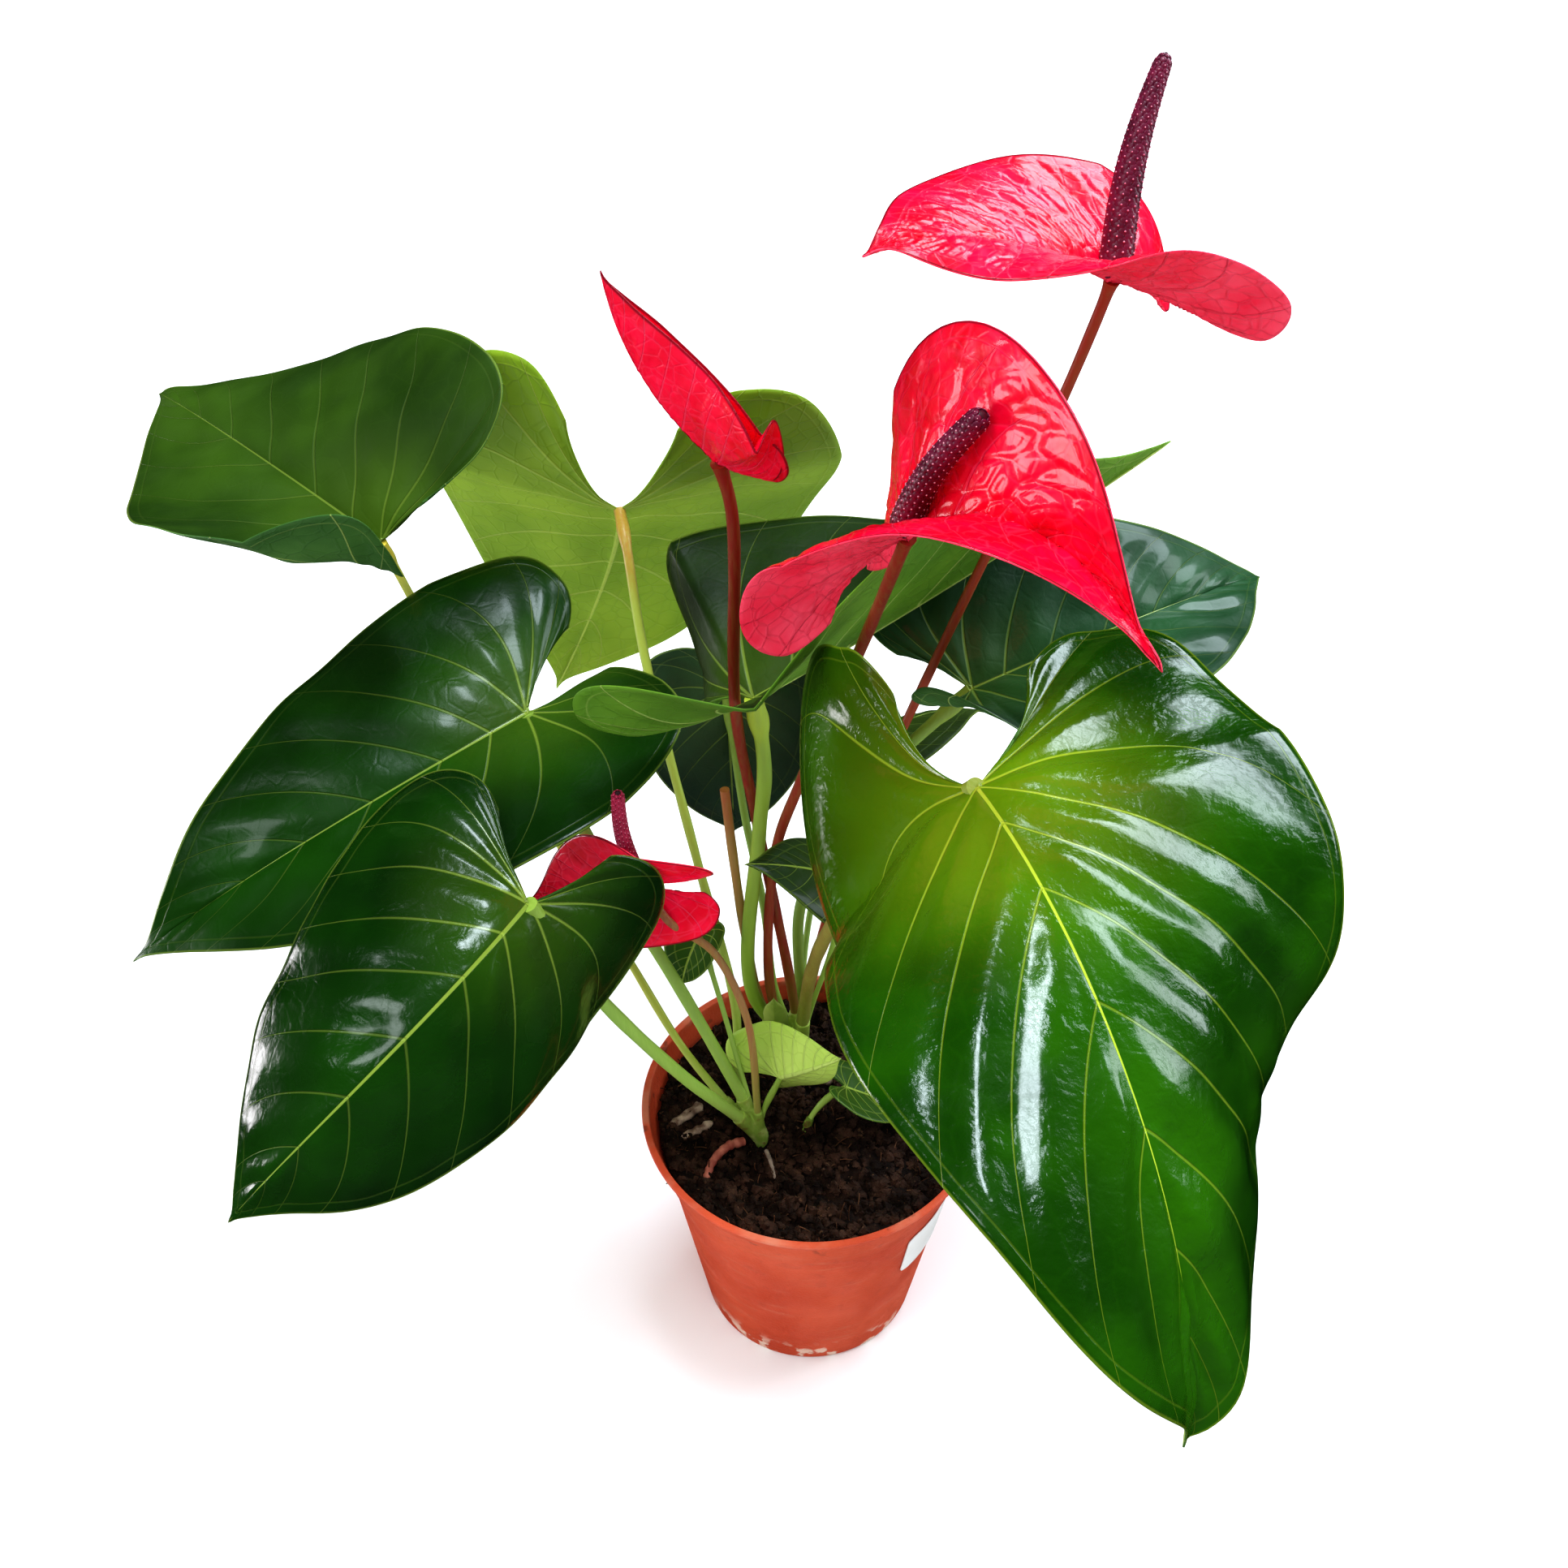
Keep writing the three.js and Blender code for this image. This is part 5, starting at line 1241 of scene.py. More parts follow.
def stalk_finish(name, foot, shaft, top, low, high, roughness=0.4):
    """Colours from the soil (low, in mm) to the blade (high)."""
    recipe = start_material(name)
    z = recipe.in_mm(2)
    colour = recipe.mix(recipe.fade(z, low, low + FOOT_FADE), foot, shaft)
    colour = recipe.mix(recipe.fade(z, *(high - below for below in TOP_FADE)), colour, top)
    streaks = recipe.stretched((1.0, 1.0, 0.12))
    colour = recipe.tint(colour, recipe.patches(900.0, 0.35, 0.75, where=streaks), 0.22, foot)
    height = recipe.noise(1400.0, where=streaks)
    return finished(recipe, colour, roughness, (height, 0.0002, 0.6), Coat_Weight=0.2, Coat_Roughness=0.2)


# %% Route and girth of a stalk
KNEE = dict(length=14, swell=0.38, from_top=1.1, longest=0.8)
STALK_STEP = 1.6               # mm between rings
FEWEST_RINGS = 12
SUNK = 3.0                     # mm that a stalk stands in its sheath
FLARE_REACH = 2.5
STALK_RIPPLE = dict(share=0.03, wavelength=30)


def stalk_line(stalk, end):
    x, y, z = CROWNS[stalk["crown"]]["at"]
    return route_through([[x, y, z - ROOTED], [x, y, z - ROOTED / 2], [x, y, z], *stalk["via"], end])


def stalk_piece(name, stalk, end, finish, swell=0.0, stop=0.2, flare=0.0):
    line = stalk_line(stalk, end)
    length = distances_along(line)[-1]
    start = ROOTED + stalk["sheath"] - SUNK
    wanted = np.linspace(start, length - stop, max(FEWEST_RINGS, round((length - start) / STALK_STEP)))
    left = length - wanted
    rise = np.clip(KNEE["from_top"] - left / KNEE["length"], 0, KNEE["longest"])
    girth = stalk["radius"] * (1 + swell * np.sin(np.pi * rise)) + flare * np.exp(-left / FLARE_REACH)
    unevenness = ripple(len(name), wanted[:, None], STALK_RIPPLE["wavelength"])
    girth = girth * (1 + STALK_RIPPLE["share"] * unevenness)
    tube_piece(name, resample(line, wanted), girth, finish)


def crown_height(stalk):
    return CROWNS[stalk["crown"]]["at"][2]


# %% Petioles
PETIOLE_TONES = dict(
    back_left=("a3bf5a", "b8bc4a", "e0cc48"), back_center=("a9c25e", "a3b44a", "a88434"),
    left=("a3c25c", "8fb04c", "7f9f3c"), front_left=("a6c460", "8cae48", "86a43c"),
    center_folded=("8fae44", "8cab3a", "a9bf3a"), behind_stems=("9cba54", "86a544", "7f9c3c"),
    front_right=("98a84c", "8a7a38", "93a43a"), right_back=("93b04c", "7f9f40", "8a9f3c"),
)
USUAL_PETIOLE = ("a3c25c", "8fb04c", "86a43c")
LEAST_FADE = 30                # mm; a shorter petiole changes colour as if it were this long
for leaf_name, leaf in LEAVES.items():
    stalk = STALKS[leaf_name]
    low = crown_height(stalk)
    tones = PETIOLE_TONES.get(leaf_name, USUAL_PETIOLE)
    finish = stalk_finish(f"{leaf_name} petiole", *tones, low, max(leaf["at"][2], low + LEAST_FADE))
    stalk_piece(f"petiole_{leaf_name}_stem", stalk, leaf["at"], finish, swell=KNEE["swell"])

# %% Peduncles and the cut stub
PEDUNCLE_TONES = dict(
    top=("8a6a3a", "a03a1e", "a03018"), center=("8a7a3a", "8e2c1a", "9c2418"),
    furled=("7f7a36", "8a2618", "922018"), low=("9aa04c", "9a6a40", "8e4a30"),
)
FLOWER_FLARE = 0.8             # mm by which a peduncle widens below its spathe
for flower_name, spathe in SPATHES.items():
    stalk = FLOWER_STALKS[flower_name]
    tones = PEDUNCLE_TONES[flower_name]
    finish = stalk_finish(f"{flower_name} peduncle", *tones, crown_height(stalk), spathe["at"][2])
    stalk_piece(f"peduncle_{flower_name}_stem", stalk, spathe["at"], finish, flare=FLOWER_FLARE)
STUB_TONES = ("8f9a44", "a07a3c", "a8602c")
stub_finish = stalk_finish("cut stub", *STUB_TONES, crown_height(STUB), STUB["at"][2], roughness=0.55)
stalk_piece("cut_stub_stem", STUB, STUB["at"], stub_finish, stop=0.0)

# %% [markdown]
# ## Crowns
# Where the stalks leave the soil, each is wrapped in the sheath of its own leaf, and they all sit on a short
# stem. The feet and the stem are plain tubes first. A voxel remesh welds them into one skin, and a light
# smoothing rounds the creases where they meet, as the sheaths do on the plant.

# %% Crown finish
def crown_material():
    recipe = start_material("crown")
    z = recipe.in_mm(2)
    colour = recipe.mix(recipe.fade(z, 92.0, 118.0), "6f8a34", "a6c052")
    colour = recipe.mix(recipe.patches(140.0, 0.5, 0.8), colour, "c2cc7c")
    brown = recipe.patches(230.0, 0.55, 0.68, detail=4.0)
    colour = recipe.tint(colour, brown, recipe.fade(z, 92.0, 112.0, 0.9, 0.15), "6b4a26")
    return finished(recipe, colour, 0.5, (recipe.noise(700.0, 4.0), 0.0003, 0.7), Coat_Weight=0.15)


CROWN_FINISH = crown_material()

# %% The parts of a crown
SHEATH = dict(thickness=1.1, taper=0.6, rings=26, sides=16)
SHEATH_RIPPLE = dict(share=0.05, wavelength=9, seeds_per_mm=7)
TRUNK = dict(above=6, girth=[0.8, 0.85, 0.55, 0.25], shares=[0, 0.4, 0.75, 1], rings=20, sides=24)


def foot_of(stalk, end):
    """The first part of a stalk in its sheath, from down in the soil."""
    top = ROOTED + stalk["sheath"]
    wanted = np.linspace(ROOTED / 2, top, SHEATH["rings"])
    up = np.clip((wanted - ROOTED) / stalk["sheath"], 0, 1)
    girth = stalk["radius"] + SHEATH["thickness"] * (1 - SHEATH["taper"] * up)
    unevenness = ripple(int(top * SHEATH_RIPPLE["seeds_per_mm"]), wanted[:, None],
                        SHEATH_RIPPLE["wavelength"])
    girth = girth * (1 + SHEATH_RIPPLE["share"] * unevenness)
    return skin(resample(stalk_line(stalk, end), wanted), girth, SHEATH["sides"])


def trunk_of(crown):
    """A cone in the middle of a crown. It is slimmer above the soil than its solid, to let the feet show."""
    x, y, z = crown["at"]
    heights = np.linspace(z - ROOTED / 2, z + TRUNK["above"], TRUNK["rings"])
    shares = (heights - (z - ROOTED)) / (ROOTED + TRUNK["above"])
    line = np.stack([np.full_like(heights, x), np.full_like(heights, y), heights], axis=1)
    return skin(line, crown["trunk"] * np.interp(shares, TRUNK["shares"], TRUNK["girth"]), TRUNK["sides"])


# %% Crowns
CROWN_VOXEL = 0.55             # mm
ROUNDING = dict(factor=0.5, iterations=3)
all_stalks = [(STALKS[key], LEAVES[key]["at"]) for key in LEAVES]
all_stalks += [(FLOWER_STALKS[key], SPATHES[key]["at"]) for key in SPATHES]
all_stalks.append((STUB, STUB["at"]))
for crown_name, crown in CROWNS.items():
    bodies = [trunk_of(crown)]
    bodies += [foot_of(stalk, end) for stalk, end in all_stalks if stalk["crown"] == crown_name]
    crown_source = make_mesh(f"crown_{crown_name}_parts", *join_bodies(bodies), [CROWN_FINISH])
    holder = plain_object(f"crown_{crown_name}_parts", crown_source)
    remesh = holder.modifiers.new("weld", "REMESH")
    remesh.mode = "VOXEL"
    remesh.voxel_size = CROWN_VOXEL * MM
    remesh.use_smooth_shade = True
    smooth = holder.modifiers.new("round", "SMOOTH")
    smooth.factor = ROUNDING["factor"]
    smooth.iterations = ROUNDING["iterations"]
    crown_mesh = evaluated_mesh(holder, f"crown_{crown_name}_skin")
    if not crown_mesh.materials:
        crown_mesh.materials.append(CROWN_FINISH)
    add_piece(crown_mesh)

# %% [markdown]
# ## Sheaths
# Two loose sheaths stand at the crowns: a broad green one and a dry, papery one. They are narrow blades with
# hardly any lobes, so the same steps make them.

# %% Loose sheaths
SHEATH_LOOKS = dict(
    green=(fleshy("green sheath", "7f9a3e", "a9bd5e", scale=90.0), "crown"),
    pale=(fleshy("dry sheath", "a8926a", "d6c79c", 240.0, roughness=0.75, coat=0.0, grain=1.0), "dry_stem"),
)
SHEATH_MESH = dict(thickness=BLADE_THICKNESS, spacing=0.7, uneven=0.2, seed=FIRST_SEED["sheath"])
for sheath_name, sheath in SHEATHS.items():
    finish, slot = SHEATH_LOOKS[sheath_name]
    add_blade("sheath_" + sheath_name, slot, sheath, [finish, finish], **SHEATH_MESH)

# %% [markdown]
# ## The pot
# A thin-walled nursery pot is moulded as one turned shape: a tapered body, a rim band that stands out by a
# step, and a rolled lip. The profile's corners are rounded by short arcs before it is turned, so that the
# lip and the foot catch a line of light. The drain holes are cut through the floor.

# %% Pot profile
POT = dict(height=102, base=40, shoulder=52.5, shoulder_height=82, lip=60, wall=1.3, floor=1.6, step=1.4,
           foot=1.4, lip_width=2.4, lip_drop=2, below_lip=1)
CORNER = dict(radius=0.5, steps=3, most=2.1)     # an arc takes at most 1 / most of a side
BAND = POT["shoulder"] + POT["step"]


def pot_radius(z):
    if z < POT["shoulder_height"]:
        return POT["base"] + (POT["shoulder"] - POT["base"]) * z / POT["shoulder_height"]
    up = (z - POT["shoulder_height"]) / (POT["height"] - POT["shoulder_height"])
    return BAND + (POT["lip"] - POT["below_lip"] - BAND) * up


def rounded(profile):
    """The profile with each inner corner replaced by a short arc."""
    profile = np.asarray(profile, float)
    points = [profile[0]]
    for before, corner, after in zip(profile, profile[1:], profile[2:]):
        sides = before - corner, after - corner
        lengths = [np.linalg.norm(side) for side in sides]
        reach = min(CORNER["radius"], *(length / CORNER["most"] for length in lengths))
        start, end = (corner + side / length * reach for side, length in zip(sides, lengths))
        for share in np.linspace(0, 1, CORNER["steps"] + 1):
            points.append((1 - share) ** 2 * start + 2 * share * (1 - share) * corner + share**2 * end)
    points.append(profile[-1])
    return np.array(points)


def turned_body(profile, segments):
    """A closed body turned from a profile that starts and ends on the axis."""
    angles = angles_round(segments)
    inner = profile[1:-1]
    rings = np.stack([np.outer(inner[:, 0], np.cos(angles)), np.outer(inner[:, 0], np.sin(angles)),
                      np.repeat(inner[:, 1:], segments, axis=1)], axis=-1)
    points = np.vstack([rings.reshape(-1, 3), [0, 0, profile[0, 1]], [0, 0, profile[-1, 1]]])
    bottom, top = len(points) - 2, len(points) - 1
    last = (len(inner) - 1) * segments
    faces = ring_faces(len(inner), segments)
    for i in range(segments):
        j = (i + 1) % segments
        faces += [[bottom, j, i], [top, last + i, last + j]]
    return points, faces


# %% Pot finish
def pot_material():
    recipe = start_material("terracotta plastic")
    y, z = recipe.in_mm(1), recipe.in_mm(2)
    scuffs = recipe.times(recipe.fade(z, 4.0, 16.0, 1.0, 0.0), recipe.fade(y, -10.0, -34.0))
    scuffs = recipe.times(scuffs, recipe.patches(120.0, 0.5, 0.58, detail=4.0))
    rubbed = recipe.patches(45.0, 0.58, 0.75, detail=5.0, where=recipe.stretched((1.0, 1.0, 9.0)))
    # painted highlight: the top of the lip is painted lighter in patches, as the line of light that it
    # catches
    rim = recipe.times(recipe.fade(z, 99.5, 101.6), recipe.patches(60.0, 0.45, 0.7, detail=4.0))
    soil_line = recipe.fade(z, 88.0, 101.0, 0.1, 0.6)
    colour = recipe.mix(recipe.patches(22.0, 0.3, 0.75, detail=4.0), "c54a2e", "da5f3e")
    colour = recipe.tint(colour, rubbed, 0.3, "d08a6e")
    # the painted highlight on the lip
    colour = recipe.tint(colour, rim, 0.5, "d99a80")
    colour = recipe.tint(colour, scuffs, 0.85, "efd9c4")
    colour = recipe.tint(colour, recipe.patches(160.0, 0.6, 0.7, detail=4.0), soil_line, "5a3022")
    roughness = recipe.patches(80.0, 0.3, 0.8, detail=4.0, start=0.42, end=0.62)
    height = recipe.plus(recipe.noise(900.0), scuffs)
    return finished(recipe, colour, roughness, (height, 0.0002, 1.0), Specular_IOR_Level=0.3)


# %% Pot
POT_SEGMENTS = 160
WARP = dict(share=0.0035, waves=3, phase=0.6)    # a thin lip is never quite round
DRAIN = dict(count=6, radius=3.5, circle=26, heights=[-3, 0, 5], sides=24)
base_inside = POT["base"] - POT["wall"]
lip_inside = POT["lip"] - POT["lip_width"]
pot_profile = rounded([
    [0, 0], [POT["base"] - POT["foot"], 0], [POT["base"], POT["foot"]],
    [POT["shoulder"], POT["shoulder_height"] - 1], [BAND, POT["shoulder_height"] + 0.6],
    [POT["lip"] - 1.2, POT["height"] - POT["lip_drop"]], [POT["lip"], POT["height"] - 1.4],
    [POT["lip"], POT["height"]], [lip_inside, POT["height"]],
    [lip_inside - 0.5, POT["height"] - POT["lip_drop"]], [BAND - POT["wall"], POT["shoulder_height"] + 1],
    [POT["shoulder"] - POT["wall"], POT["shoulder_height"] - 1], [base_inside, POT["floor"] + POT["foot"]],
    [base_inside - POT["foot"], POT["floor"]], [0, POT["floor"]],
])
pot_points, pot_faces = turned_body(pot_profile, POT_SEGMENTS)
around = np.arctan2(pot_points[:, 1], pot_points[:, 0])
warp = WARP["share"] * np.sin(WARP["waves"] * around + WARP["phase"])
pot_points[:, :2] *= (1 + warp * (pot_points[:, 2] / POT["height"]))[:, None]
POT_FINISH = pot_material()

plugs = []
for angle in angles_round(DRAIN["count"]) + math.pi / DRAIN["count"]:
    x, y = DRAIN["circle"] * math.cos(angle), DRAIN["circle"] * math.sin(angle)
    line = np.array([[x, y, z] for z in DRAIN["heights"]])
    plugs.append(skin(line, [DRAIN["radius"]] * len(line), DRAIN["sides"]))
plug_holder = plain_object("drain_plugs", make_mesh("drain_plugs", *join_bodies(plugs), [POT_FINISH]))
pot_holder = plain_object("pot_turned", make_mesh("pot_turned", pot_points, pot_faces, [POT_FINISH]))
cut = pot_holder.modifiers.new("drain", "BOOLEAN")
cut.operation, cut.solver, cut.object = "DIFFERENCE", "EXACT", plug_holder
pot_mesh = evaluated_mesh(pot_holder, "pot_shell")
bpy.data.objects.remove(plug_holder)
add_piece(pot_mesh)

# %% [markdown]
# ## The label
# A blank white sticker follows the wall. Its corners are rounded by drawing each row in from the sides near
# the top and the bottom.

# %% Label
LABEL = dict(start=-50, end=5, low=52, high=76, thickness=0.35, back=0.25, corner=3.0, rows=25, columns=41)


def label_face(stand_off):
    """Rows of points on the wall. The rows near the top and the bottom are drawn in from the sides."""
    rows = []
    for z in LABEL["low"] + (LABEL["high"] - LABEL["low"]) * np.linspace(0, 1, LABEL["rows"]):
        missing = max(0, LABEL["corner"] - min(z - LABEL["low"], LABEL["high"] - z))
        inset = LABEL["corner"] - math.sqrt(max(0, LABEL["corner"] ** 2 - missing**2))
        radius = pot_radius(z) + stand_off
        narrower = math.degrees(inset / radius)
        angles = np.radians(np.linspace(LABEL["start"] + narrower, LABEL["end"] - narrower,
                                        LABEL["columns"]))
        rows.append(np.stack([radius * np.cos(angles), radius * np.sin(angles), np.full_like(angles, z)],
                             axis=1))
    return np.array(rows)


front_face = label_face(LABEL["back"] + LABEL["thickness"])
back_face = label_face(LABEL["back"])
rows, columns = front_face.shape[:2]
behind = rows * columns
place = np.arange(behind).reshape(rows, columns)
ring = np.concatenate([place[0], place[1:, -1], place[-1, -2::-1], place[-2:0:-1, 0]]).tolist()
label_quads = grid_quads(rows, columns, 0, True).tolist()
label_faces = label_quads + [[i + behind for i in reversed(quad)] for quad in label_quads]
label_faces += [[b, a, a + behind, b + behind] for a, b in zip(ring, ring[1:] + ring[:1])]
LABEL_FINISH = fleshy("label paper", "e9e7e2", "f6f5f2", scale=40.0, coat=0.2, grain=0.4)
label_mesh = make_mesh("pot_label_sheet", np.concatenate([front_face, back_face]).reshape(-1, 3),
                       label_faces, [LABEL_FINISH])
add_piece(label_mesh)

# %% [markdown]
# ## The soil
# The peat is a lumpy, closed bed that fills the pot. Crumbs and fibres lie on it. They repeat by the
# thousand, so a Geometry Nodes tree scatters them on the top of the bed with a fixed seed.

# %% Soil bed
SOIL = dict(level=90, mound=3, mound_at=(-9, 12), mound_reach=30, lump=1.3, bank=3.5, bank_from=0.78,
            rings=64, segments=160, innermost=0.015, clearance=0.7)
CLODS = [dict(seed=5, size=5.0, height=1.1), dict(seed=6, size=2.2, height=0.5)]
SUNK_CLODS = 0.9               # mm by which the clods are lowered, so that they don't raise the level
SOIL_RIPPLE = dict(seed=7, wavelength=6, height=0.35)
SOIL_EDGE = pot_radius(SOIL["level"]) - POT["wall"] - SOIL["clearance"]
SOIL_FOOT = POT["base"] - POT["wall"] - SOIL["clearance"]
SOIL_WALL = [(SOIL_FOOT - 1.6, POT["floor"] + 0.3), (SOIL_FOOT, 4), (SOIL_FOOT + 6, 42), (SOIL_EDGE - 2, 80),
             (SOIL_EDGE - 0.6, SOIL["level"] - 3)]


def soil_height(x, y):
    away = np.hypot(x - SOIL["mound_at"][0], y - SOIL["mound_at"][1])
    mound = SOIL["mound"] * np.exp(-((away / SOIL["mound_reach"]) ** 2))
    # crossed waves, 12 to 23 mm long
    lumps = np.sin(0.31 * x + 0.9) * np.cos(0.27 * y) + 0.6 * np.sin(0.53 * y + 0.41 * x)
    flat = np.stack([x, y], axis=1)
    bank = SOIL["bank"] * smooth_step(SOIL["bank_from"], 1.0, np.hypot(x, y) / SOIL_EDGE)
    clods = sum(clod["height"] * cell_heights(clod["seed"], flat, clod["size"]) for clod in CLODS)
    clods = clods - SUNK_CLODS
    fine = SOIL_RIPPLE["height"] * ripple(SOIL_RIPPLE["seed"], flat, SOIL_RIPPLE["wavelength"])
    return SOIL["level"] + mound + bank + SOIL["lump"] * lumps / 1.6 + clods + fine


def soil_rings():
    """Rings of points up the wall, then in over the top."""
    shares = np.linspace(1, SOIL["innermost"], SOIL["rings"])
    angles = angles_round(SOIL["segments"])
    x = np.outer(SOIL_EDGE * shares, np.cos(angles))
    y = np.outer(SOIL_EDGE * shares, np.sin(angles))
    top = np.stack([x, y, soil_height(x.ravel(), y.ravel()).reshape(x.shape)], axis=-1)
    walls = [np.stack([r * np.cos(angles), r * np.sin(angles), np.full(len(angles), z)], axis=1)
             for r, z in SOIL_WALL]
    return np.concatenate([np.array(walls), top])


# %% Soil finishes
def earth(name, dark, light, scale):
    recipe = start_material(name)
    colour = recipe.mix(recipe.patches(scale, 0.35, 0.72, detail=5.0), dark, light)
    colour = recipe.tint(colour, recipe.patches(scale * 3.1, 0.66, 0.74, detail=2.0), 0.5, "7a5a44")
    return finished(recipe, colour, 0.9, (recipe.noise(1500.0, 5.0), 0.0006, 1.0), Specular_IOR_Level=0.25)


SOIL_FINISH = earth("peat", "120906", "2c1b13", 260.0)
CRUMB_FINISH = earth("peat crumbs", "1a0f0a", "4a3226", 120.0)
FIBRE_FINISH = earth("coir fibre", "3c2517", "7a543a", 90.0)
bed_points, bed_faces = closed_tube(soil_rings())
add_piece(make_mesh("soil_bed", bed_points, bed_faces, [SOIL_FINISH]))

# %% Scatter tree
CRUMBS = dict(density=190000.0, seed_shift=10, smallest=0.45, largest=2.2)
FIBRES = dict(density=26000.0, seed_shift=20, smallest=0.5, largest=1.3)
CRUMB = dict(radius=0.001, noise_scale=900.0, push=0.0022)                    # metres
FIBRE = dict(radius=0.00016, sides=5, steps=6, start=(-0.004, 0.0, 0.0), middle=(0.0, 0.0022, 0.0008),
             end=(0.0045, -0.0006, 0.0))


def scattered(recipe, given, shape, density, seed_shift, smallest, largest):
    """The shape on seeded points of the mesh, each turned and scaled by a draw."""
    points = recipe.out("GeometryNodeDistributePointsOnFaces", Mesh=given["Geometry"], Density=density,
                        Seed=recipe.plus(given["seed"], seed_shift))
    turn = recipe.out("FunctionNodeRandomValue", (0, 0, 0), (2 * math.pi,) * 3, data_type="FLOAT_VECTOR",
                      Seed=seed_shift + 1)
    size = recipe.node("FunctionNodeRandomValue", (0, 0, 0), (1, 1, 1), smallest, largest,
                       data_type="FLOAT", Seed=seed_shift + 2)
    return recipe.out("GeometryNodeInstanceOnPoints", Points=points, Instance=shape, Rotation=turn,
                      Scale=size.outputs[1])


def scatter_tree():
    recipe, given, result = start_geometry_tree("crumbs and fibres", seed="Int", crumb_finish="Material",
                                                fibre_finish="Material")
    ball = recipe.out("GeometryNodeMeshIcoSphere", Radius=CRUMB["radius"], Subdivisions=2)
    lumpy = recipe.node("ShaderNodeTexNoise", Vector=recipe.out("GeometryNodeInputPosition"),
                        Scale=CRUMB["noise_scale"], Detail=1.0)
    push = recipe.out("ShaderNodeVectorMath", lumpy.outputs[1], (0.5, 0.5, 0.5), operation="SUBTRACT")
    push = recipe.out("ShaderNodeVectorMath", operation="SCALE", Vector=push, Scale=CRUMB["push"])
    crumb = recipe.out("GeometryNodeSetPosition", Geometry=ball, Offset=push)
    strand = recipe.out("GeometryNodeCurveQuadraticBezier", Resolution=FIBRE["steps"], Start=FIBRE["start"],
                        Middle=FIBRE["middle"], End=FIBRE["end"])
    ring = recipe.out("GeometryNodeCurvePrimitiveCircle", Resolution=FIBRE["sides"], Radius=FIBRE["radius"])
    fibre = recipe.out("GeometryNodeCurveToMesh", Curve=strand, Profile_Curve=ring, Fill_Caps=True)
    crumb = in_finish(recipe, crumb, given["crumb_finish"])
    fibre = in_finish(recipe, fibre, given["fibre_finish"])
    both = joined(recipe, scattered(recipe, given, crumb, **CRUMBS),
                  scattered(recipe, given, fibre, **FIBRES))
    recipe.put(result["Geometry"], recipe.out("GeometryNodeRealizeInstances", both))
    return recipe.tree


# %% Crumbs and fibres
SCATTER_SEED = 4
ABOVE_BED = 0.15               # mm
first_top = len(SOIL_WALL) * SOIL["segments"]
top_only = [[i - first_top for i in face] for face in bed_faces[:-2] if min(face) >= first_top]
top_mesh = make_mesh("soil_top", bed_points[first_top:] + [0, 0, ABOVE_BED], top_only)
crumbs_mesh = grown_mesh("soil_crumbs", top_mesh, scatter_tree(), seed=SCATTER_SEED,
                         crumb_finish=CRUMB_FINISH, fibre_finish=FIBRE_FINISH)
add_piece(crumbs_mesh)

# %% [markdown]
# ## Roots and bark
# Two aerial roots leave the front crown for the soil, and a few splinters of bark lie in the peat. A root is
# a stalk with an uneven girth; a splinter is a rough, flattened stick.

# %% Aerial roots
ROOT_POINTS = 40
ROOT_STEPS = 20                # between two points of its route
ROOT_END = dict(start=0.9, least=0.05)
ROOT_RIPPLE = dict(share=0.09, wavelength=0.14, seed=80)


def root_finish(name, dark, light, roughness):
    return fleshy(name, dark, light, scale=260.0, roughness=roughness, coat=0.0, grain=1.0)


ROOT_LOOKS = dict(
    red=(root_finish("red root", "8a4034", "b8705c", 0.65), "root"),
    grey=(root_finish("grey root", "6a5a50", "a08c7c", 0.8), "bark"),
)
for root_name, root in AERIAL_ROOTS.items():
    line = route_through(root["via"], ROOT_STEPS)
    share = np.linspace(0, 1, ROOT_POINTS)
    unevenness = ripple(ROOT_RIPPLE["seed"] + len(root_name), share[:, None], ROOT_RIPPLE["wavelength"])
    girth = root["radius"] + (root["tip_radius"] - root["radius"]) * share
    girth = girth * (1 + ROOT_RIPPLE["share"] * unevenness) * closing(share, **ROOT_END)
    finish, slot = ROOT_LOOKS[root_name]
    line = resample(line, share * distances_along(line)[-1])
    tube_piece(f"aerial_root_{root_name}_strand", line, girth, finish)

# %% Bark chips
CHIPS = [
    dict(start=[-50, -4, 92.5], end=[-39, 5, 93.5], radius=2),
    dict(start=[-46, -9, 92.5], end=[-35, -3, 93.5], radius=1.6),
    dict(start=[5, 15, 92.5], end=[13, 23, 94], radius=1.8),
]
CHIP_MESH = dict(rings=22, sides=14)
BARK_FINISH = fleshy("bark", "5a4034", "b09a86", scale=300.0, roughness=0.9, coat=0.0, grain=1.5)
for number, chip in enumerate(CHIPS, start=1):
    share = np.linspace(0, 1, CHIP_MESH["rings"])[:, None]
    line = np.array(chip["start"]) * (1 - share) + np.array(chip["end"]) * share
    angles = angles_round(CHIP_MESH["sides"])
    # a section that is flattened, and ridged by five waves that turn along the splinter
    rough = 0.8 + 0.25 * np.cos(2 * angles) + 0.12 * np.cos(5 * angles + 4 * share)
    girth = chip["radius"] * rough * (0.85 + 0.12 * ripple(90 + number, share, 0.3))[:, None]
    pointed = np.clip(np.minimum(share, 1 - share) * 9 + 0.25, 0, 1)
    chip_body = skin(line, girth * pointed, CHIP_MESH["sides"])
    add_piece(make_mesh(f"bark_chip_{number}_splinter", *chip_body, [BARK_FINISH]))

# %% [markdown]
# ## Floor, light and camera
# The plant stands on a plain white floor, in a pale grey world. A sun lamp as wide as a bright sky lights it
# from above and casts the soft shadow. Sky, floor and world are hidden from reflections, since they would
# lay a white haze over the glossy leaves. Five soft boxes give the reflections instead: each hangs where the
# camera sees it mirrored, in the leaves at the right, in the flowers, or in the leaves at the left. The
# camera looks down on the plant from the front, as the photographer did.

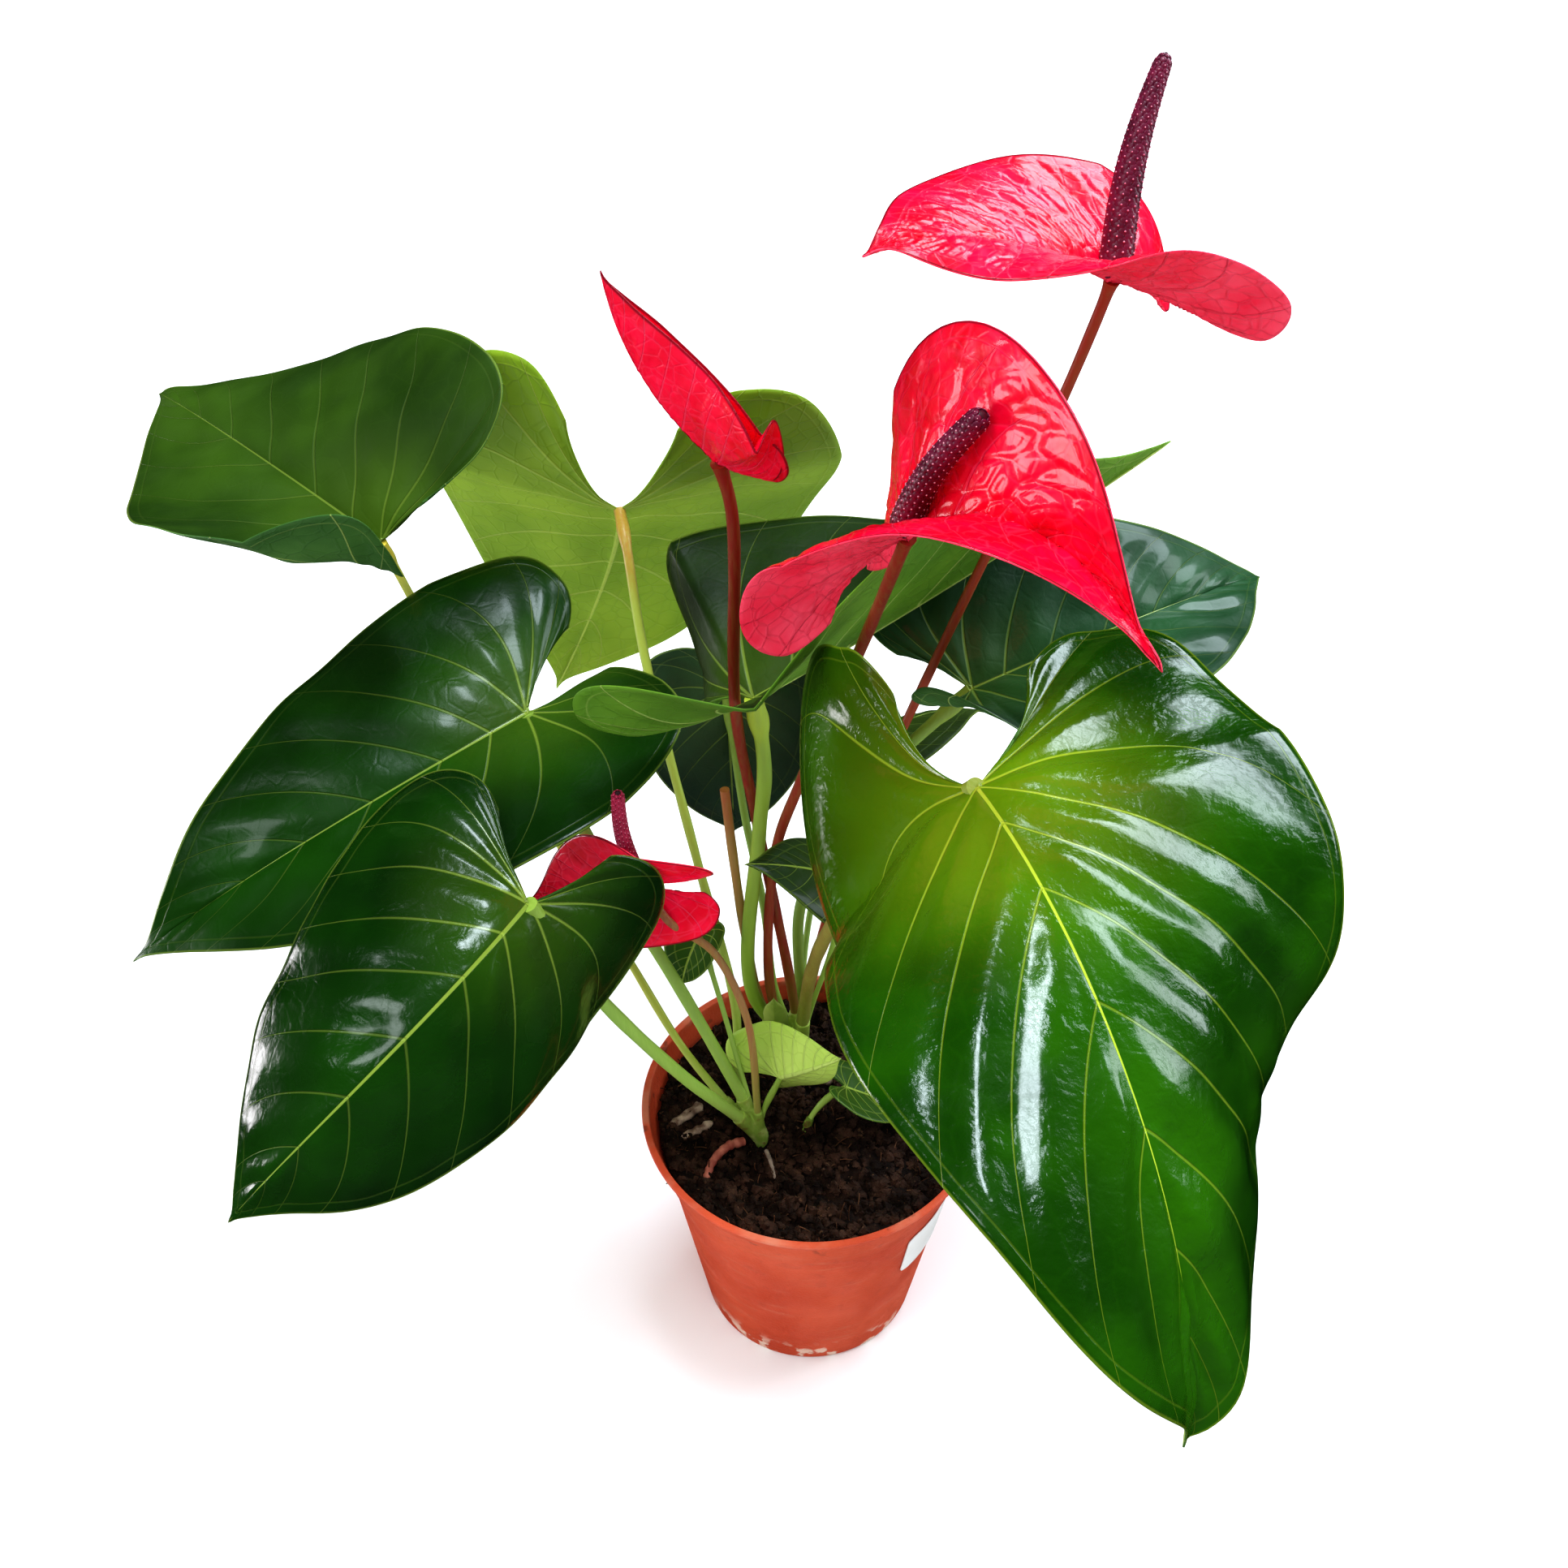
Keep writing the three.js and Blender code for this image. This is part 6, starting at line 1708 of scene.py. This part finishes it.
# %% Floor
FLOOR_REACH = 3000.0           # mm
CORNERS = [[-1, -1, 0], [1, -1, 0], [1, 1, 0], [-1, 1, 0]]


def floor_material():
    recipe = start_material("white floor")
    colour = recipe.mix(recipe.noise(3.0, 2.0), "f2f2f2", "f8f8f8")
    return finished(recipe, colour, 0.9, Specular_IOR_Level=0.1)


floor_mesh = make_mesh("floor", np.array(CORNERS) * FLOOR_REACH, [[0, 1, 2, 3]], [floor_material()])
floor = plain_object("floor", floor_mesh)
floor.visible_glossy = False

# %% World and sky lamp
WORLD = dict(colour=(0.93, 0.96, 1.0, 1.0), strength=0.5)
SKY = dict(strength=1.9, width=60, turn=(14, -6, 0))
world = bpy.data.worlds.new("studio")
bpy.context.scene.world = world
world.use_nodes = True
background = world.node_tree.nodes["Background"]
background.inputs["Color"].default_value = WORLD["colour"]
background.inputs["Strength"].default_value = WORLD["strength"]
world.cycles_visibility.glossy = False
sky = bpy.data.lights.new("sky", "SUN")
sky.energy, sky.angle = SKY["strength"], math.radians(SKY["width"])
sky_holder = plain_object("sky_light", sky)
sky_holder.rotation_euler = [math.radians(value) for value in SKY["turn"]]
sky_holder.visible_glossy = False
bpy.context.scene.view_settings.view_transform = "Standard"
bpy.context.scene.view_settings.look = "Medium High Contrast"
print("world strength:", WORLD["strength"], "sky strength:", SKY["strength"])

# %% Soft boxes
AIM = np.array([0, 0, 0.2])
SOFT_BOXES = dict(
    behind=dict(at=(0.85, 0.65, 1.1), size=(1.1, 0.42), power=13, colour=(0.8, 0.9, 1.0)),
    overhead=dict(at=(0.06, 0.02, 1.6), size=(0.5, 0.2), power=8, colour=(0.8, 0.9, 1.0)),
    front=dict(at=(-0.8, -0.65, 1.3), size=(0.35, 0.35), power=3.0, colour=(0.9, 0.96, 1.0)),
    left=dict(at=(-0.85, 0.15, 0.12), size=(0.3, 0.2), power=1.8, colour=(1.0, 0.95, 1.0)),
    right=dict(at=(1.1, 0.25, 0.55), size=(0.3, 0.5), power=2.5, colour=(0.85, 0.93, 1.0)),
)
for box_name, box in SOFT_BOXES.items():
    lamp = bpy.data.lights.new(box_name, "AREA")
    lamp.shape = "RECTANGLE"
    lamp.size, lamp.size_y = box["size"]
    lamp.energy, lamp.color = box["power"], box["colour"]
    holder = plain_object(box_name + "_soft_box", lamp)
    holder.location = box["at"]
    aim = AIM - np.array(box["at"])
    turn = math.atan2(aim[1], aim[0]) - math.pi / 2
    tilt = math.atan2(math.hypot(aim[0], aim[1]), -aim[2])
    holder.rotation_euler = (tilt, 0, turn)
print("soft boxes:", len(SOFT_BOXES))

# %% Camera
CAMERA = dict(at=(-9.8, -364.0, 556.7), down=40.3, focal_px=2000.0, frame_px=1932.0, sensor=36.0)
camera_data = bpy.data.cameras.new("camera")
camera_data.sensor_width = CAMERA["sensor"]
camera_data.lens = CAMERA["sensor"] * CAMERA["focal_px"] / CAMERA["frame_px"]
camera_data.clip_start = 0.01
camera = plain_object("camera", camera_data)
camera.location = [value * MM for value in CAMERA["at"]]
camera.rotation_euler = (math.radians(90 - CAMERA["down"]), 0, 0)
bpy.context.scene.camera = camera
